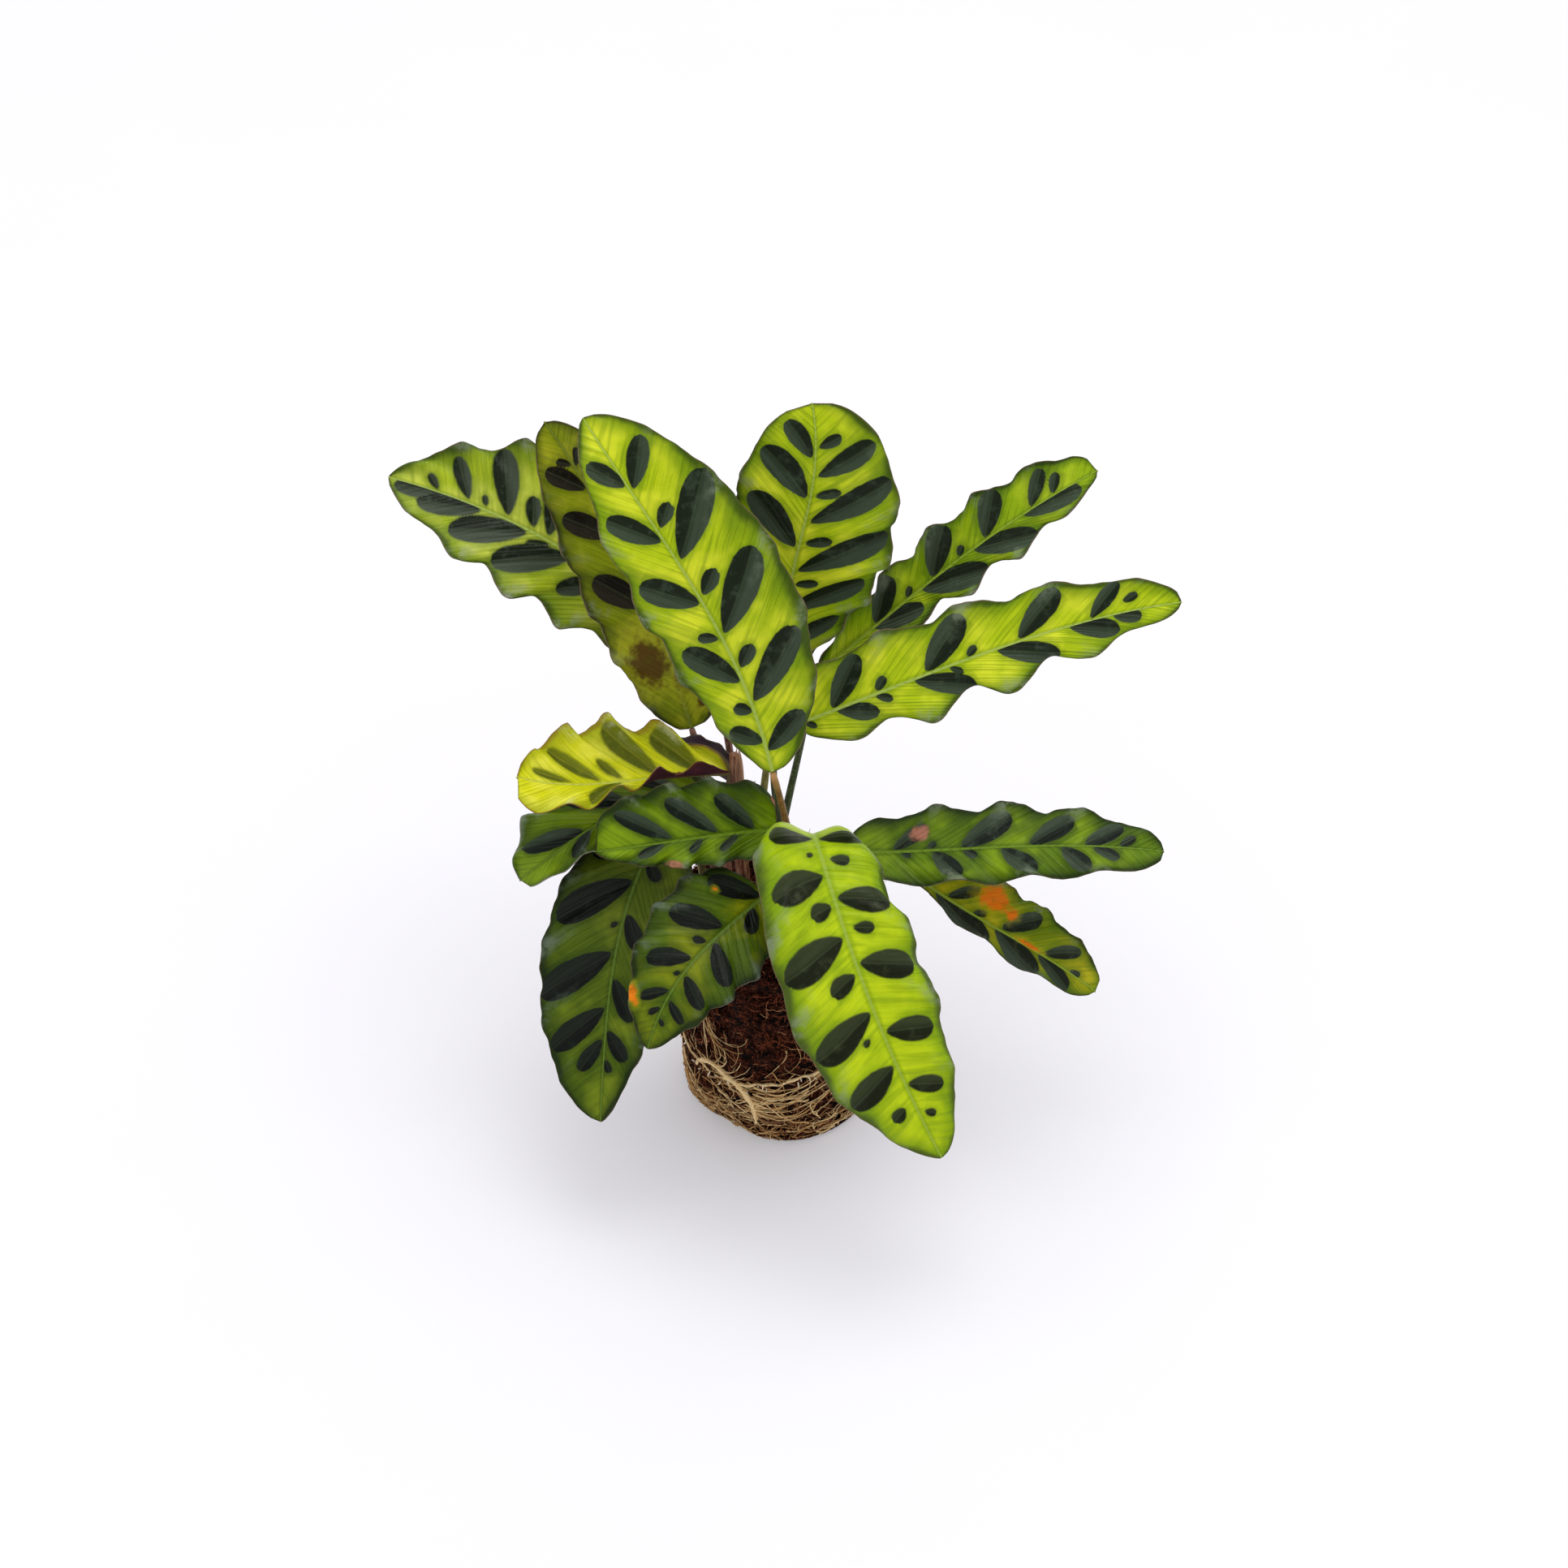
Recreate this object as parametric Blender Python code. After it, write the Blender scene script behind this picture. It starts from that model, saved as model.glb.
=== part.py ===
"""A calathea lifted from its pot: fifteen patterned leaves on thin stalks, and its bare root ball.

Metres, +Z up. The origin is the centre of the root ball's flat underside, on the floor.
The leaf table is in millimetres and degrees. A leaf's own right is the side on the right
hand of someone who looks along it from its base to its tip, with its face turned up.
"""
import math
import random
from dataclasses import dataclass

import bmesh
import bpy
import numpy as np
from mathutils import Vector

MM = 0.001
GAP = 0.0003

# Root ball, in the shape of the nursery pot that it grew in
BALL_HEIGHT = 0.114
BALL_TOP_RADIUS = 0.050
BALL_FOOT_RADIUS = 0.045
BALL_SIDES = 36
BALL_RIM = 0.004
BALL_FOOT_BEVEL = 0.002
BALL_WALL_RINGS = (0.002, 0.018, 0.036, 0.054, 0.072, 0.088, 0.100)
BALL_TOP_RINGS = (0.75, 0.5, 0.25, 0)
SOIL_LUMP = 0.0015
SOIL_LUMPS_FROM = 0.072
SOIL_LUMPS_AROUND = (5, 11)

# Roots that wrap the lower part of the ball
ROOT_RADIUS = 0.0010
ROOT_SIDES = 5
GIRDLE_HEIGHT = 0.030
GIRDLE_SWAY = 0.006
GIRDLE_STEPS = 48
GIRDLE_SHARE = 0.985
CLIMBING_ROOTS = 14
CLIMBING_STEPS = 9
CLIMBING_FOOT = 0.004
CLIMBING_TOP = (0.048, 0.068)
CLIMBING_LEAN = 0.5
CLIMBING_SWAY = (0.04, 0.10)
CLIMBING_THINS = 0.4
ROOT_SEED = 7

# Stalks and the holes that they stand in
STALK_RADIUS = 0.0014
SHEATH_RADIUS = 0.0024
STALK_SIDES = 6
STALK_STEPS = 9
HOLE_DEPTH = 0.014
HOLE_CLEARANCE = 0.0004
HOLE_SIDES = 12
SOIL_CLEAR = 0.002
NECK = 0.003

# Leaf blades
BLADE_THICKNESS = 0.0007
BLADE_ROWS = 18
BLADE_COLUMNS = 6
BASE_HALF_WIDTH = 0.0012
TIP_HALF_WIDTH = 0.0006
WAVE_SLANT = 0.85
SPINE_SAMPLES = 200


@dataclass(frozen=True)
class Half:
    """One half of a blade, from the midrib to the margin.

    width is its greatest, belly is where along the blade that lies (0 to 1), and taper is
    above 1 for pointed ends and below 1 for blunt ones. cup and cup_tip are how far the half
    is turned up at the base and at the tip, in degrees. The margin has a number of waves
    along the blade, of height ruffle, which also widen it by the fraction scallop.
    """

    width: float
    belly: float
    taper: float
    cup: float
    cup_tip: float
    ruffle: float
    waves: float
    phase: float
    scallop: float


@dataclass(frozen=True)
class Stalk:
    """A stalk's way from its hole: its foot on the soil, then two points that it bends by."""

    foot: tuple
    knee: tuple
    elbow: tuple
    colour: tuple


@dataclass(frozen=True)
class Leaf:
    """A blade, whose midrib is a cubic curve from base to tip, and its stalk.

    face is the way that the blade's upper side looks, and face_tip is that way at its tip
    where the blade turns.
    """

    name: str
    base: tuple
    rise: tuple
    bow: tuple
    tip: tuple
    face: tuple
    left: Half
    right: Half
    colour: tuple
    stalk: Stalk = None
    face_tip: tuple = None


LIME = (0.30, 0.42, 0.03)
FRESH = (0.20, 0.33, 0.03)
SHADED = (0.07, 0.15, 0.02)
YELLOW = (0.45, 0.46, 0.04)
PURPLE = (0.06, 0.02, 0.03)
OLIVE = (0.22, 0.20, 0.05)
DARK_STALK = (0.04, 0.06, 0.02)
RUST = (0.30, 0.15, 0.05)
PINK_STALK = (0.42, 0.22, 0.14)
BROWN_STALK = (0.12, 0.06, 0.04)
PAPER_BROWN = (0.25, 0.13, 0.07)
PALE_BRACT = (0.45, 0.50, 0.25)
SOIL_BROWN = (0.06, 0.025, 0.015)
STRAW = (0.62, 0.45, 0.24)

LEAVES = (
    Leaf("back_left", (-48, 58, 222), (-78, 66, 264), (-128, 80, 284), (-174, 90, 291),
         (0.15, -0.65, 0.75),
         Half(29, 0.45, 1.2, 8, 8, 2, 5.0, 0.40, 0.15),
         Half(39, 0.40, 1.3, 8, 8, 4, 6.0, 0.55, 0.10), LIME,
         Stalk((-18, 30), (-24, 46, 198), (-26, 49, 202), BROWN_STALK)),
    Leaf("left_rear", (-40, 36, 190), (-52, 48, 234), (-69, 57, 286), (-101, 66, 338),
         (0.10, -0.85, 0.40),
         Half(24, 0.50, 1.0, 15, 15, 2, 5.5, 0.30, 0.05),
         Half(24, 0.45, 1.0, 10, 10, 2, 5.0, 0.90, 0.02), FRESH,
         Stalk((-30, 19), (-31, 34, 135), (-38, 43, 165), OLIVE)),
    Leaf("left_front", (-3, -22, 215), (-18, 0, 276), (-45, -10, 324), (-82, 32, 365),
         (0.05, -0.85, 0.55),
         Half(24, 0.50, 1.4, 6, 6, 1.5, 5.0, 0.15, 0.08),
         Half(38, 0.50, 1.25, 6, 6, 3, 5.5, 0.20, 0.02), LIME,
         Stalk((9, 13), (10, 8, 150), (3, -10, 190), RUST)),
    Leaf("back_centre", (3, 34, 224), (-3, 40, 277), (22, 35, 316), (14, 56, 355),
         (0, -0.95, 0.35),
         Half(33, 0.55, 0.8, 6, 6, 2, 5.0, 0.50, 0.04),
         Half(38, 0.60, 1.3, 6, 6, 3, 5.5, 0.55, 0.04), LIME,
         Stalk((-8, 20), (-11, 22, 150), (-4, 30, 196), OLIVE)),
    Leaf("back_right", (18, 54, 207), (55, 58, 245), (93, 68, 280), (140, 80, 302),
         (-0.3, -0.65, 0.70),
         Half(17, 0.65, 1.0, 10, 10, 4, 6.0, 0.70, 0.10),
         Half(14, 0.60, 1.5, 10, 10, 2, 5.5, 0.80, 0.28), FRESH,
         Stalk((-4, 12), (-1, 16, 140), (12, 40, 184), DARK_STALK)),
    Leaf("right_upper", (9, 8, 217), (55, 12, 236), (117, 16, 270), (174, 20, 276),
         (-0.15, -0.65, 0.75),
         Half(22, 0.30, 0.6, 15, 15, 3, 4.7, 0.45, 0.08),
         Half(16, 0.40, 0.9, -15, -10, 2, 4.6, 0.10, 0.33), LIME,
         Stalk((4, 6), (3, 5, 150), (-3, 4, 200), DARK_STALK)),
    Leaf("left_yellow", (-23.1, 12.2, 183.5), (-54, 8, 189), (-86, -7, 187), (-115, -14, 205),
         (0, 0.1, 1),
         Half(14, 0.80, 1.0, 60, -50, 4, 4.5, 0.20, 0.00),
         Half(28, 0.50, 1.1, 38, 30, 2.5, 4.2, 0.10, 0.03), YELLOW),
    Leaf("left_under", (-33, 18, 160), (-59, 18, 175), (-84, -2, 166), (-116, -26, 154),
         (-0.2, -0.2, 1),
         Half(10, 0.55, 0.5, -10, -10, 2, 5.0, 0.10, 0.00),
         Half(27, 0.50, 1.0, 5, 5, 3, 5.0, 0.40, 0.08), SHADED,
         Stalk((-24, 14), (-24, 14, 142), (-27, 18, 157), PINK_STALK)),
    Leaf("left_near", (-10, -16, 175), (-26, -24, 181), (-53, -32, 181), (-80, -44, 188),
         (0, -0.7, 0.70),
         Half(10, 0.30, 1.0, 5, 5, 2, 5.4, 0.80, 0.00),
         Half(23, 0.50, 0.5, 8, 8, 2, 4.4, 0.70, 0.06), FRESH,
         Stalk((-9, 1), (-10, 0, 145), (-6, -12, 168), OLIVE)),
    Leaf("low_left", (-54, 12, 155), (-72, -27, 133), (-77, -46, 132), (-81, -88, 62),
         (-0.1, -0.55, 0.80),
         Half(26, 0.35, 1.2, 5, 5, 2, 5.0, 0.20, 0.07),
         Half(32, 0.45, 1.1, 5, 5, 2, 5.0, 0.75, 0.01), SHADED,
         Stalk((-35, 11), (-36, 11, 140), (-46, 20, 157), OLIVE)),
    Leaf("low_front", (-6, -34, 153), (-22, -57, 154), (-48, -77, 152), (-58, -94, 116),
         (0, -0.6, 0.80),
         Half(24, 0.40, 1.2, 5, 5, 1.5, 5.0, 0.45, 0.08),
         Half(28, 0.35, 1.3, 5, 5, 1.5, 5.5, 0.10, 0.08), SHADED,
         Stalk((-12, -6), (-10, -8, 140), (1, -24, 152), OLIVE)),
    Leaf("front", (15, -16, 152), (12, -25, 228), (18, -97, 190), (71, -132, 87),
         (0, 0.8, 0.6),
         Half(30, 0.50, 1.25, 8, 6, 2, 6.0, 0.00, 0.04),
         Half(39, 0.50, 1.6, 8, 6, 2, 6.0, 0.50, 0.04), LIME,
         Stalk((6, -5), (6, -5, 132), (15, -14, 142), OLIVE), (0, -0.8, 0.6)),
    Leaf("right_mid", (31, -10, 156), (70, -13, 157), (117, -15, 170), (172, -16, 162),
         (0, -0.35, 0.95),
         Half(19, 0.40, 0.8, 5, 5, 2, 4.4, 0.50, 0.09),
         Half(17, 0.40, 0.6, 5, 5, 4, 4.3, 0.20, 0.00), FRESH,
         Stalk((14, 2), (14, 2, 150), (22, -9, 156), DARK_STALK)),
    Leaf("right_low", (55, 4, 136), (82, -7, 114), (115, -21, 110), (144, -38, 95),
         (0.3, -0.5, 0.80),
         Half(19, 0.45, 0.8, 10, 10, 2, 5.0, 0.80, 0.03),
         Half(10, 0.70, 1.7, -50, -40, 4, 3.4, 0.85, 0.00), FRESH,
         Stalk((19, 10), (20, 10, 150), (44, 9, 146), DARK_STALK)),
    Leaf("curled", (-23, 25, 168), (-22, 28, 186), (-36, 28, 190), (-54, 28, 187),
         (0, 1, 0.1),
         Half(3, 0.50, 0.8, 10, 10, 1, 2.0, 0.10, 0.00),
         Half(12, 0.50, 0.8, 10, 10, 1, 2.0, 0.40, 0.00), PURPLE,
         Stalk((-23, 24), (-23, 24, 135), (-24, 25, 155), BROWN_STALK)),
)

# The brown papery shoot that carries the yellow leaf
SHOOT_FOOT = (-17, 10)
SHOOT_TOP = (-21, 13, 186)
SHOOT_FOOT_RADIUS = 0.0030
SHOOT_TOP_RADIUS = 0.0018
SHOOT_STEPS = 6
SHOOT_SIDES = 8
BRACT_BASE = (-18.6, 12.2, 176)
BRACT_TIP = (-9, 9, 183)
BRACT_RADIUS = 0.0014
BRACT_SAG = 0.002
BRACT_THINS = 0.8
BRACT_STEPS = 4

LEAF_ROUGHNESS = 0.35
STALK_ROUGHNESS = 0.5
PAPER_ROUGHNESS = 0.8
ROOT_ROUGHNESS = 0.7
SOIL_ROUGHNESS = 0.95
SHARP_EDGE = 40
MERGE = 0.00001


def clear_scene():
    """Remove every object of the scene that the script starts in."""
    for item in list(bpy.data.objects):
        bpy.data.objects.remove(item, do_unlink=True)


def material(name, colour, roughness):
    """Make a Principled material of one colour."""
    made = bpy.data.materials.new(name)
    made.use_nodes = True
    shader = made.node_tree.nodes["Principled BSDF"]
    shader.inputs["Base Color"].default_value = (*colour, 1)
    shader.inputs["Roughness"].default_value = roughness
    shader.inputs["Metallic"].default_value = 0
    return made


def finish(name, mesh_builder, colour, roughness):
    """Turn a bmesh into the named object, with smooth round faces, and free the bmesh."""
    bmesh.ops.recalc_face_normals(mesh_builder, faces=mesh_builder.faces)
    mesh = bpy.data.meshes.new(name)
    mesh_builder.to_mesh(mesh)
    mesh_builder.free()
    mesh.shade_smooth()
    mesh.set_sharp_from_angle(angle=math.radians(SHARP_EDGE))
    made = bpy.data.objects.new(name, mesh)
    bpy.context.scene.collection.objects.link(made)
    mesh.materials.append(material(name, colour, roughness))
    return made


def apply_boolean(target, operation, collection=None, cutter=None):
    """Apply one Boolean to target, then remove what it used."""
    step = target.modifiers.new(operation.lower(), "BOOLEAN")
    step.operation = operation
    step.solver = "MANIFOLD"
    used = [cutter]
    if collection:
        step.operand_type = "COLLECTION"
        step.collection = collection
        used = list(collection.objects)
    else:
        step.object = cutter
    bpy.context.view_layer.update()
    graph = bpy.context.evaluated_depsgraph_get()
    result = bpy.data.meshes.new_from_object(target.evaluated_get(graph))
    target.modifiers.clear()
    target.data = result
    for item in used:
        bpy.data.objects.remove(item, do_unlink=True)


def metres(point):
    """Turn a point of the leaf table into metres."""
    return np.array(point, dtype=float) * MM


def unit(vectors):
    """Scale vectors to length 1."""
    return vectors / np.linalg.norm(vectors, axis=-1, keepdims=True)


def cubic(points, t):
    """Points and directions of a cubic curve at the parameters t."""
    p0, p1, p2, p3 = points
    t = np.asarray(t, dtype=float)[..., None]
    place = (1 - t) ** 3 * p0 + 3 * t * (1 - t) ** 2 * p1 + 3 * t ** 2 * (1 - t) * p2 + t ** 3 * p3
    way = (1 - t) ** 2 * (p1 - p0) + 2 * t * (1 - t) * (p2 - p1) + t ** 2 * (p3 - p2)
    return place, unit(way)


def spine(leaf, u):
    """Midrib points and directions at the shares u of its length, and that length."""
    points = [metres(p) for p in (leaf.base, leaf.rise, leaf.bow, leaf.tip)]
    t = np.linspace(0, 1, SPINE_SAMPLES + 1)
    along = cubic(points, t)[0]
    run = np.concatenate([[0], np.cumsum(np.linalg.norm(np.diff(along, axis=0), axis=1))])
    place, way = cubic(points, np.interp(np.asarray(u) * run[-1], run, t))
    return place, way, run[-1]


def outline(u, belly, taper):
    """Share of the greatest half width at u: 1 at the belly and 0 at both ends."""
    before = taper * belly
    after = taper * (1 - belly)
    peak = belly ** before * (1 - belly) ** after
    return u ** before * (1 - u) ** after / peak


def blade_points(leaf, u, v):
    """Surface of a blade at u along it (0 to 1) and v across it (-1 left, 1 right)."""
    place, way, length = spine(leaf, u)
    turn = u[..., None]
    face = np.array(leaf.face) * (1 - turn) + np.array(leaf.face_tip or leaf.face) * turn
    side = unit(np.cross(way, face))
    up = np.cross(side, way)
    right = v > 0
    share = np.abs(v)

    def of(name):
        return np.where(right, getattr(leaf.right, name), getattr(leaf.left, name))

    slant = WAVE_SLANT * of("width") * MM / length
    wave = np.sin(2 * math.pi * (of("waves") * (u - slant * share) + of("phase")))
    wave = wave * np.sqrt(np.sin(math.pi * np.clip(u, 0, 1)))
    half = of("width") * MM * outline(u, of("belly"), of("taper")) * (1 + of("scallop") * share * wave)
    half = half + BASE_HALF_WIDTH * (1 - u) + TIP_HALF_WIDTH * u
    tilt = np.radians(of("cup") * (1 - u) + of("cup_tip") * u) * np.sqrt(share)
    across = (half * v * np.cos(tilt))[..., None] * side
    raised = (half * share * np.sin(tilt) + of("ruffle") * MM * share ** 2 * wave)[..., None] * up
    return place + across + raised


def build_blade(leaf):
    """Blade of one leaf: a grid bent to the leaf's surface and thickened, in triangles."""
    builder = bmesh.new()
    bmesh.ops.create_grid(builder, x_segments=BLADE_ROWS, y_segments=BLADE_COLUMNS, size=1)
    grid = np.array([vertex.co for vertex in builder.verts])
    surface = blade_points(leaf, (grid[:, 0] + 1) / 2, grid[:, 1])
    for vertex, place in zip(builder.verts, surface):
        vertex.co = place
    bmesh.ops.triangulate(builder, faces=builder.faces)
    bmesh.ops.recalc_face_normals(builder, faces=builder.faces)
    bmesh.ops.solidify(builder, geom=builder.faces, thickness=BLADE_THICKNESS)
    bmesh.ops.triangulate(builder, faces=builder.faces)
    return finish(f"leaf_{leaf.name}", builder, leaf.colour, LEAF_ROUGHNESS)


def tube(points, radii, sides):
    """Closed tube of flat-sided rings about the points, as a bmesh."""
    ways = [points[1] - points[0]]
    for before, here, after in zip(points, points[1:], points[2:]):
        ways.append(unit(here - before) + unit(after - here))
    ways.append(points[-1] - points[-2])
    builder = bmesh.new()
    rings = []
    side = Vector((1, 0, 0))
    for point, way, radius in zip(points, ways, radii):
        way = Vector(way).normalized()
        side = (side - way * side.dot(way)).normalized()
        other = way.cross(side)
        ring = []
        for i in range(sides):
            angle = 2 * math.pi * i / sides
            offset = (side * math.cos(angle) + other * math.sin(angle)) * radius
            ring.append(builder.verts.new(Vector(point) + offset))
        rings.append(ring)
    for low, high in zip(rings, rings[1:]):
        for i in range(sides):
            j = (i + 1) % sides
            builder.faces.new((low[i], low[j], high[j], high[i]))
    builder.faces.new(rings[0][::-1])
    builder.faces.new(rings[-1])
    bmesh.ops.triangulate(builder, faces=builder.faces)
    return builder


def upright_foot(place):
    """Bottom of a stem's hole, and the point where the stem leaves the soil, at a place in mm."""
    x, y = metres(place)
    return [np.array([x, y, BALL_HEIGHT - HOLE_DEPTH + GAP]), np.array([x, y, BALL_HEIGHT + SOIL_CLEAR])]


def stalk_points(leaf):
    """Centreline of a stalk: straight out of its hole, then a curve into the blade's base."""
    below, start = upright_foot(leaf.stalk.foot)
    way = spine(leaf, np.array([0.0]))[1][0]
    end = metres(leaf.base) - way * 2 * GAP
    neck = end - way * NECK
    bend = (start, metres(leaf.stalk.knee), metres(leaf.stalk.elbow), neck)
    return [below] + list(cubic(bend, np.linspace(0, 1, STALK_STEPS))[0]) + [end]


def build_stalk(leaf):
    """Stalk of one leaf, thick at its sheathed foot and thin at the blade."""
    points = stalk_points(leaf)
    shares = np.linspace(0, 1, len(points))
    radii = STALK_RADIUS + (SHEATH_RADIUS - STALK_RADIUS) * (1 - shares) ** 1.5
    return finish(f"stalk_{leaf.name}", tube(points, radii, STALK_SIDES), leaf.stalk.colour, STALK_ROUGHNESS)


def shoot_points():
    """Centreline of the papery shoot, from the bottom of its hole to its top."""
    below, start = upright_foot(SHOOT_FOOT)
    end = metres(SHOOT_TOP)
    third = np.array([0, 0, (end[2] - start[2]) / 3])
    bend = (start, start + third, end - third, end)
    return [below] + list(cubic(bend, np.linspace(0, 1, SHOOT_STEPS))[0])


def build_shoot():
    """Brown papery shoot, with a pale bract near its top."""
    points = shoot_points()
    radii = np.linspace(SHOOT_FOOT_RADIUS, SHOOT_TOP_RADIUS, len(points))
    finish("papery_shoot", tube(points, radii, SHOOT_SIDES), PAPER_BROWN, PAPER_ROUGHNESS)
    start = metres(BRACT_BASE)
    end = metres(BRACT_TIP)
    line = []
    thin = []
    for t in np.linspace(0, 1, BRACT_STEPS + 1):
        sag = np.array([0, 0, BRACT_SAG * math.sin(math.pi * t)])
        line.append(start + (end - start) * t - sag)
        thin.append(BRACT_RADIUS * (1 - BRACT_THINS * t))
    finish("shoot_bract", tube(line, thin, STALK_SIDES), PALE_BRACT, STALK_ROUGHNESS)


def ball_radius(z):
    """Radius of the root ball's wall at the height z."""
    return BALL_FOOT_RADIUS + (BALL_TOP_RADIUS - BALL_FOOT_RADIUS) * z / BALL_HEIGHT


def ball_profile():
    """Outline of the root ball from the middle of its foot to the middle of its top."""
    rim = BALL_TOP_RADIUS - BALL_RIM
    wall = [(ball_radius(z), z) for z in BALL_WALL_RINGS]
    top = [(BALL_TOP_RADIUS - BALL_RIM / 4, BALL_HEIGHT - BALL_RIM), (rim, BALL_HEIGHT)]
    inner = [(rim * share, BALL_HEIGHT) for share in BALL_TOP_RINGS]
    return [(0, 0), (BALL_FOOT_RADIUS - BALL_FOOT_BEVEL, 0)] + wall + top + inner


def lump(angle, z):
    """Gentle unevenness of the soil, nil where the roots lie."""
    rise = min(max((z - SOIL_LUMPS_FROM) / (BALL_HEIGHT - SOIL_LUMPS_FROM), 0), 1)
    slow, quick = SOIL_LUMPS_AROUND
    return SOIL_LUMP * rise * (math.sin(slow * angle + 1) + math.sin(quick * angle + 2)) / 2


def build_root_ball():
    """Soil of the root ball, with a plain hole for each stem."""
    profile = ball_profile()
    builder = bmesh.new()
    bmesh.ops.create_grid(builder, x_segments=BALL_SIDES, y_segments=len(profile) - 1, size=1)
    for vertex in builder.verts:
        angle = (vertex.co.x + 1) * math.pi
        radius, z = profile[round((vertex.co.y + 1) / 2 * (len(profile) - 1))]
        uneven = lump(angle, z)
        radius = radius + uneven if radius > 0 else 0
        drop = uneven if z == BALL_HEIGHT and radius > 0 else 0
        vertex.co = (radius * math.cos(angle), radius * math.sin(angle), z + drop * 0.5)
    bmesh.ops.remove_doubles(builder, verts=builder.verts, dist=MERGE)
    bmesh.ops.dissolve_degenerate(builder, edges=builder.edges, dist=MERGE)
    bmesh.ops.triangulate(builder, faces=builder.faces)
    ball = finish("root_ball", builder, SOIL_BROWN, SOIL_ROUGHNESS)
    cutter = hole_cutter()
    apply_boolean(ball, "DIFFERENCE", cutter=cutter)
    return ball


def hole_cutter():
    """One mesh of upright pegs, where the stems stand."""
    feet = [(leaf.stalk.foot, SHEATH_RADIUS) for leaf in LEAVES if leaf.stalk]
    feet.append((SHOOT_FOOT, SHOOT_FOOT_RADIUS))
    builder = bmesh.new()
    for (x, y), radius in feet:
        peg = bmesh.ops.create_cone(builder, cap_ends=True, segments=HOLE_SIDES, depth=2 * HOLE_DEPTH,
                                    radius1=radius + HOLE_CLEARANCE, radius2=radius + HOLE_CLEARANCE)
        bmesh.ops.translate(builder, verts=peg["verts"], vec=(x * MM, y * MM, BALL_HEIGHT))
    cutter = finish("hole_pegs", builder, SOIL_BROWN, SOIL_ROUGHNESS)
    cutter.hide_render = True
    cutter.display_type = "WIRE"
    return cutter


def wall_point(angle, z):
    """Centre of a root that lies on the ball's wall, a gap clear of it."""
    out = ball_radius(z) + ROOT_RADIUS + GAP
    return np.array([out * math.cos(angle), out * math.sin(angle), z])


def build_roots():
    """Pale roots: one that winds around the ball and others that climb across it."""
    draw = random.Random(ROOT_SEED)
    runs = []
    for i in range(CLIMBING_ROOTS):
        angle = 2 * math.pi * (i + draw.uniform(-0.25, 0.25)) / CLIMBING_ROOTS
        top = draw.uniform(*CLIMBING_TOP)
        lean = draw.uniform(-CLIMBING_LEAN, CLIMBING_LEAN)
        sway = draw.uniform(*CLIMBING_SWAY)
        run = []
        for t in np.linspace(0, 1, CLIMBING_STEPS):
            around = angle + lean * t + sway * math.sin(2 * math.pi * t)
            run.append(wall_point(around, CLIMBING_FOOT + (top - CLIMBING_FOOT) * t))
        runs.append(run)
    girdle = []
    for t in np.linspace(0, 1, GIRDLE_STEPS + 1):
        angle = 2 * math.pi * t * GIRDLE_SHARE
        girdle.append(wall_point(angle, GIRDLE_HEIGHT + GIRDLE_SWAY * math.sin(3 * angle)))
    radii = [ROOT_RADIUS * 1.2] * len(girdle)
    net = finish("roots", tube(girdle, radii, ROOT_SIDES), STRAW, ROOT_ROUGHNESS)
    spare = bpy.data.collections.new("climbing roots")
    for run in runs:
        thin = [ROOT_RADIUS * (1 - CLIMBING_THINS * t) for t in np.linspace(0, 1, len(run))]
        root = finish("climbing_root", tube(run, thin, ROOT_SIDES), STRAW, ROOT_ROUGHNESS)
        bpy.context.scene.collection.objects.unlink(root)
        spare.objects.link(root)
    apply_boolean(net, "UNION", collection=spare)
    bpy.data.collections.remove(spare)
    return net


def main():
    """Build the whole plant."""
    clear_scene()
    build_root_ball()
    build_roots()
    build_shoot()
    for leaf in LEAVES:
        build_blade(leaf)
        if leaf.stalk:
            build_stalk(leaf)


main()
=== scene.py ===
"""The looks of a calathea that stands out of its pot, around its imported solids.

Metres, +Z up, in the part's own frame. The leaf table is in millimetres and degrees, and
repeats the part's own shapes. A leaf's own right is the side on the right hand of someone
who looks along it from its base to its tip, with its face turned up.
"""
import logging
import math
import random
from collections.abc import Callable, Sequence
from dataclasses import dataclass, replace
from enum import Enum

import bmesh
import bpy
import numpy as np
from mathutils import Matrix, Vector, noise


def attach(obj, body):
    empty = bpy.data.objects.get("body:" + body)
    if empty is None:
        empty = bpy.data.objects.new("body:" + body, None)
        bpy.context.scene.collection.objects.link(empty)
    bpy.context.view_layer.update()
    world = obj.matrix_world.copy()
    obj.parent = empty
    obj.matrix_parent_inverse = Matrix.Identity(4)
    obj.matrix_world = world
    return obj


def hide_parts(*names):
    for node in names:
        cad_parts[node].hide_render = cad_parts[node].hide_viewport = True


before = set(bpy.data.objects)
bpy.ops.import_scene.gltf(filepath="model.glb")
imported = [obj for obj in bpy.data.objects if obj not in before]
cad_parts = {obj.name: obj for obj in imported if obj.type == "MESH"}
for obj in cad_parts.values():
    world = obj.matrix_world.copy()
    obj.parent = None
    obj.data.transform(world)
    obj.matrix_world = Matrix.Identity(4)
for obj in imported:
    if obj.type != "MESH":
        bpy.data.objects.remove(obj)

Point = tuple[float, float, float]
Colour = tuple[float, float, float]
Spot = tuple[float, ...]
Socket = bpy.types.NodeSocket

LOG = logging.getLogger("calathea")
MM = 0.001
GAP = 0.0003  # between a piece and what it stands in
MERGE = 0.000002  # points that lie nearer than this become one
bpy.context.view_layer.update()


class Side(Enum):
    """The two sides of a blade's sheet, by material slot."""

    FACE = 0
    BACK = 1


def metres(point: Sequence[float]) -> np.ndarray:
    """Turn a point in millimetres into metres."""
    return np.array(point, dtype=float) * MM


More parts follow.
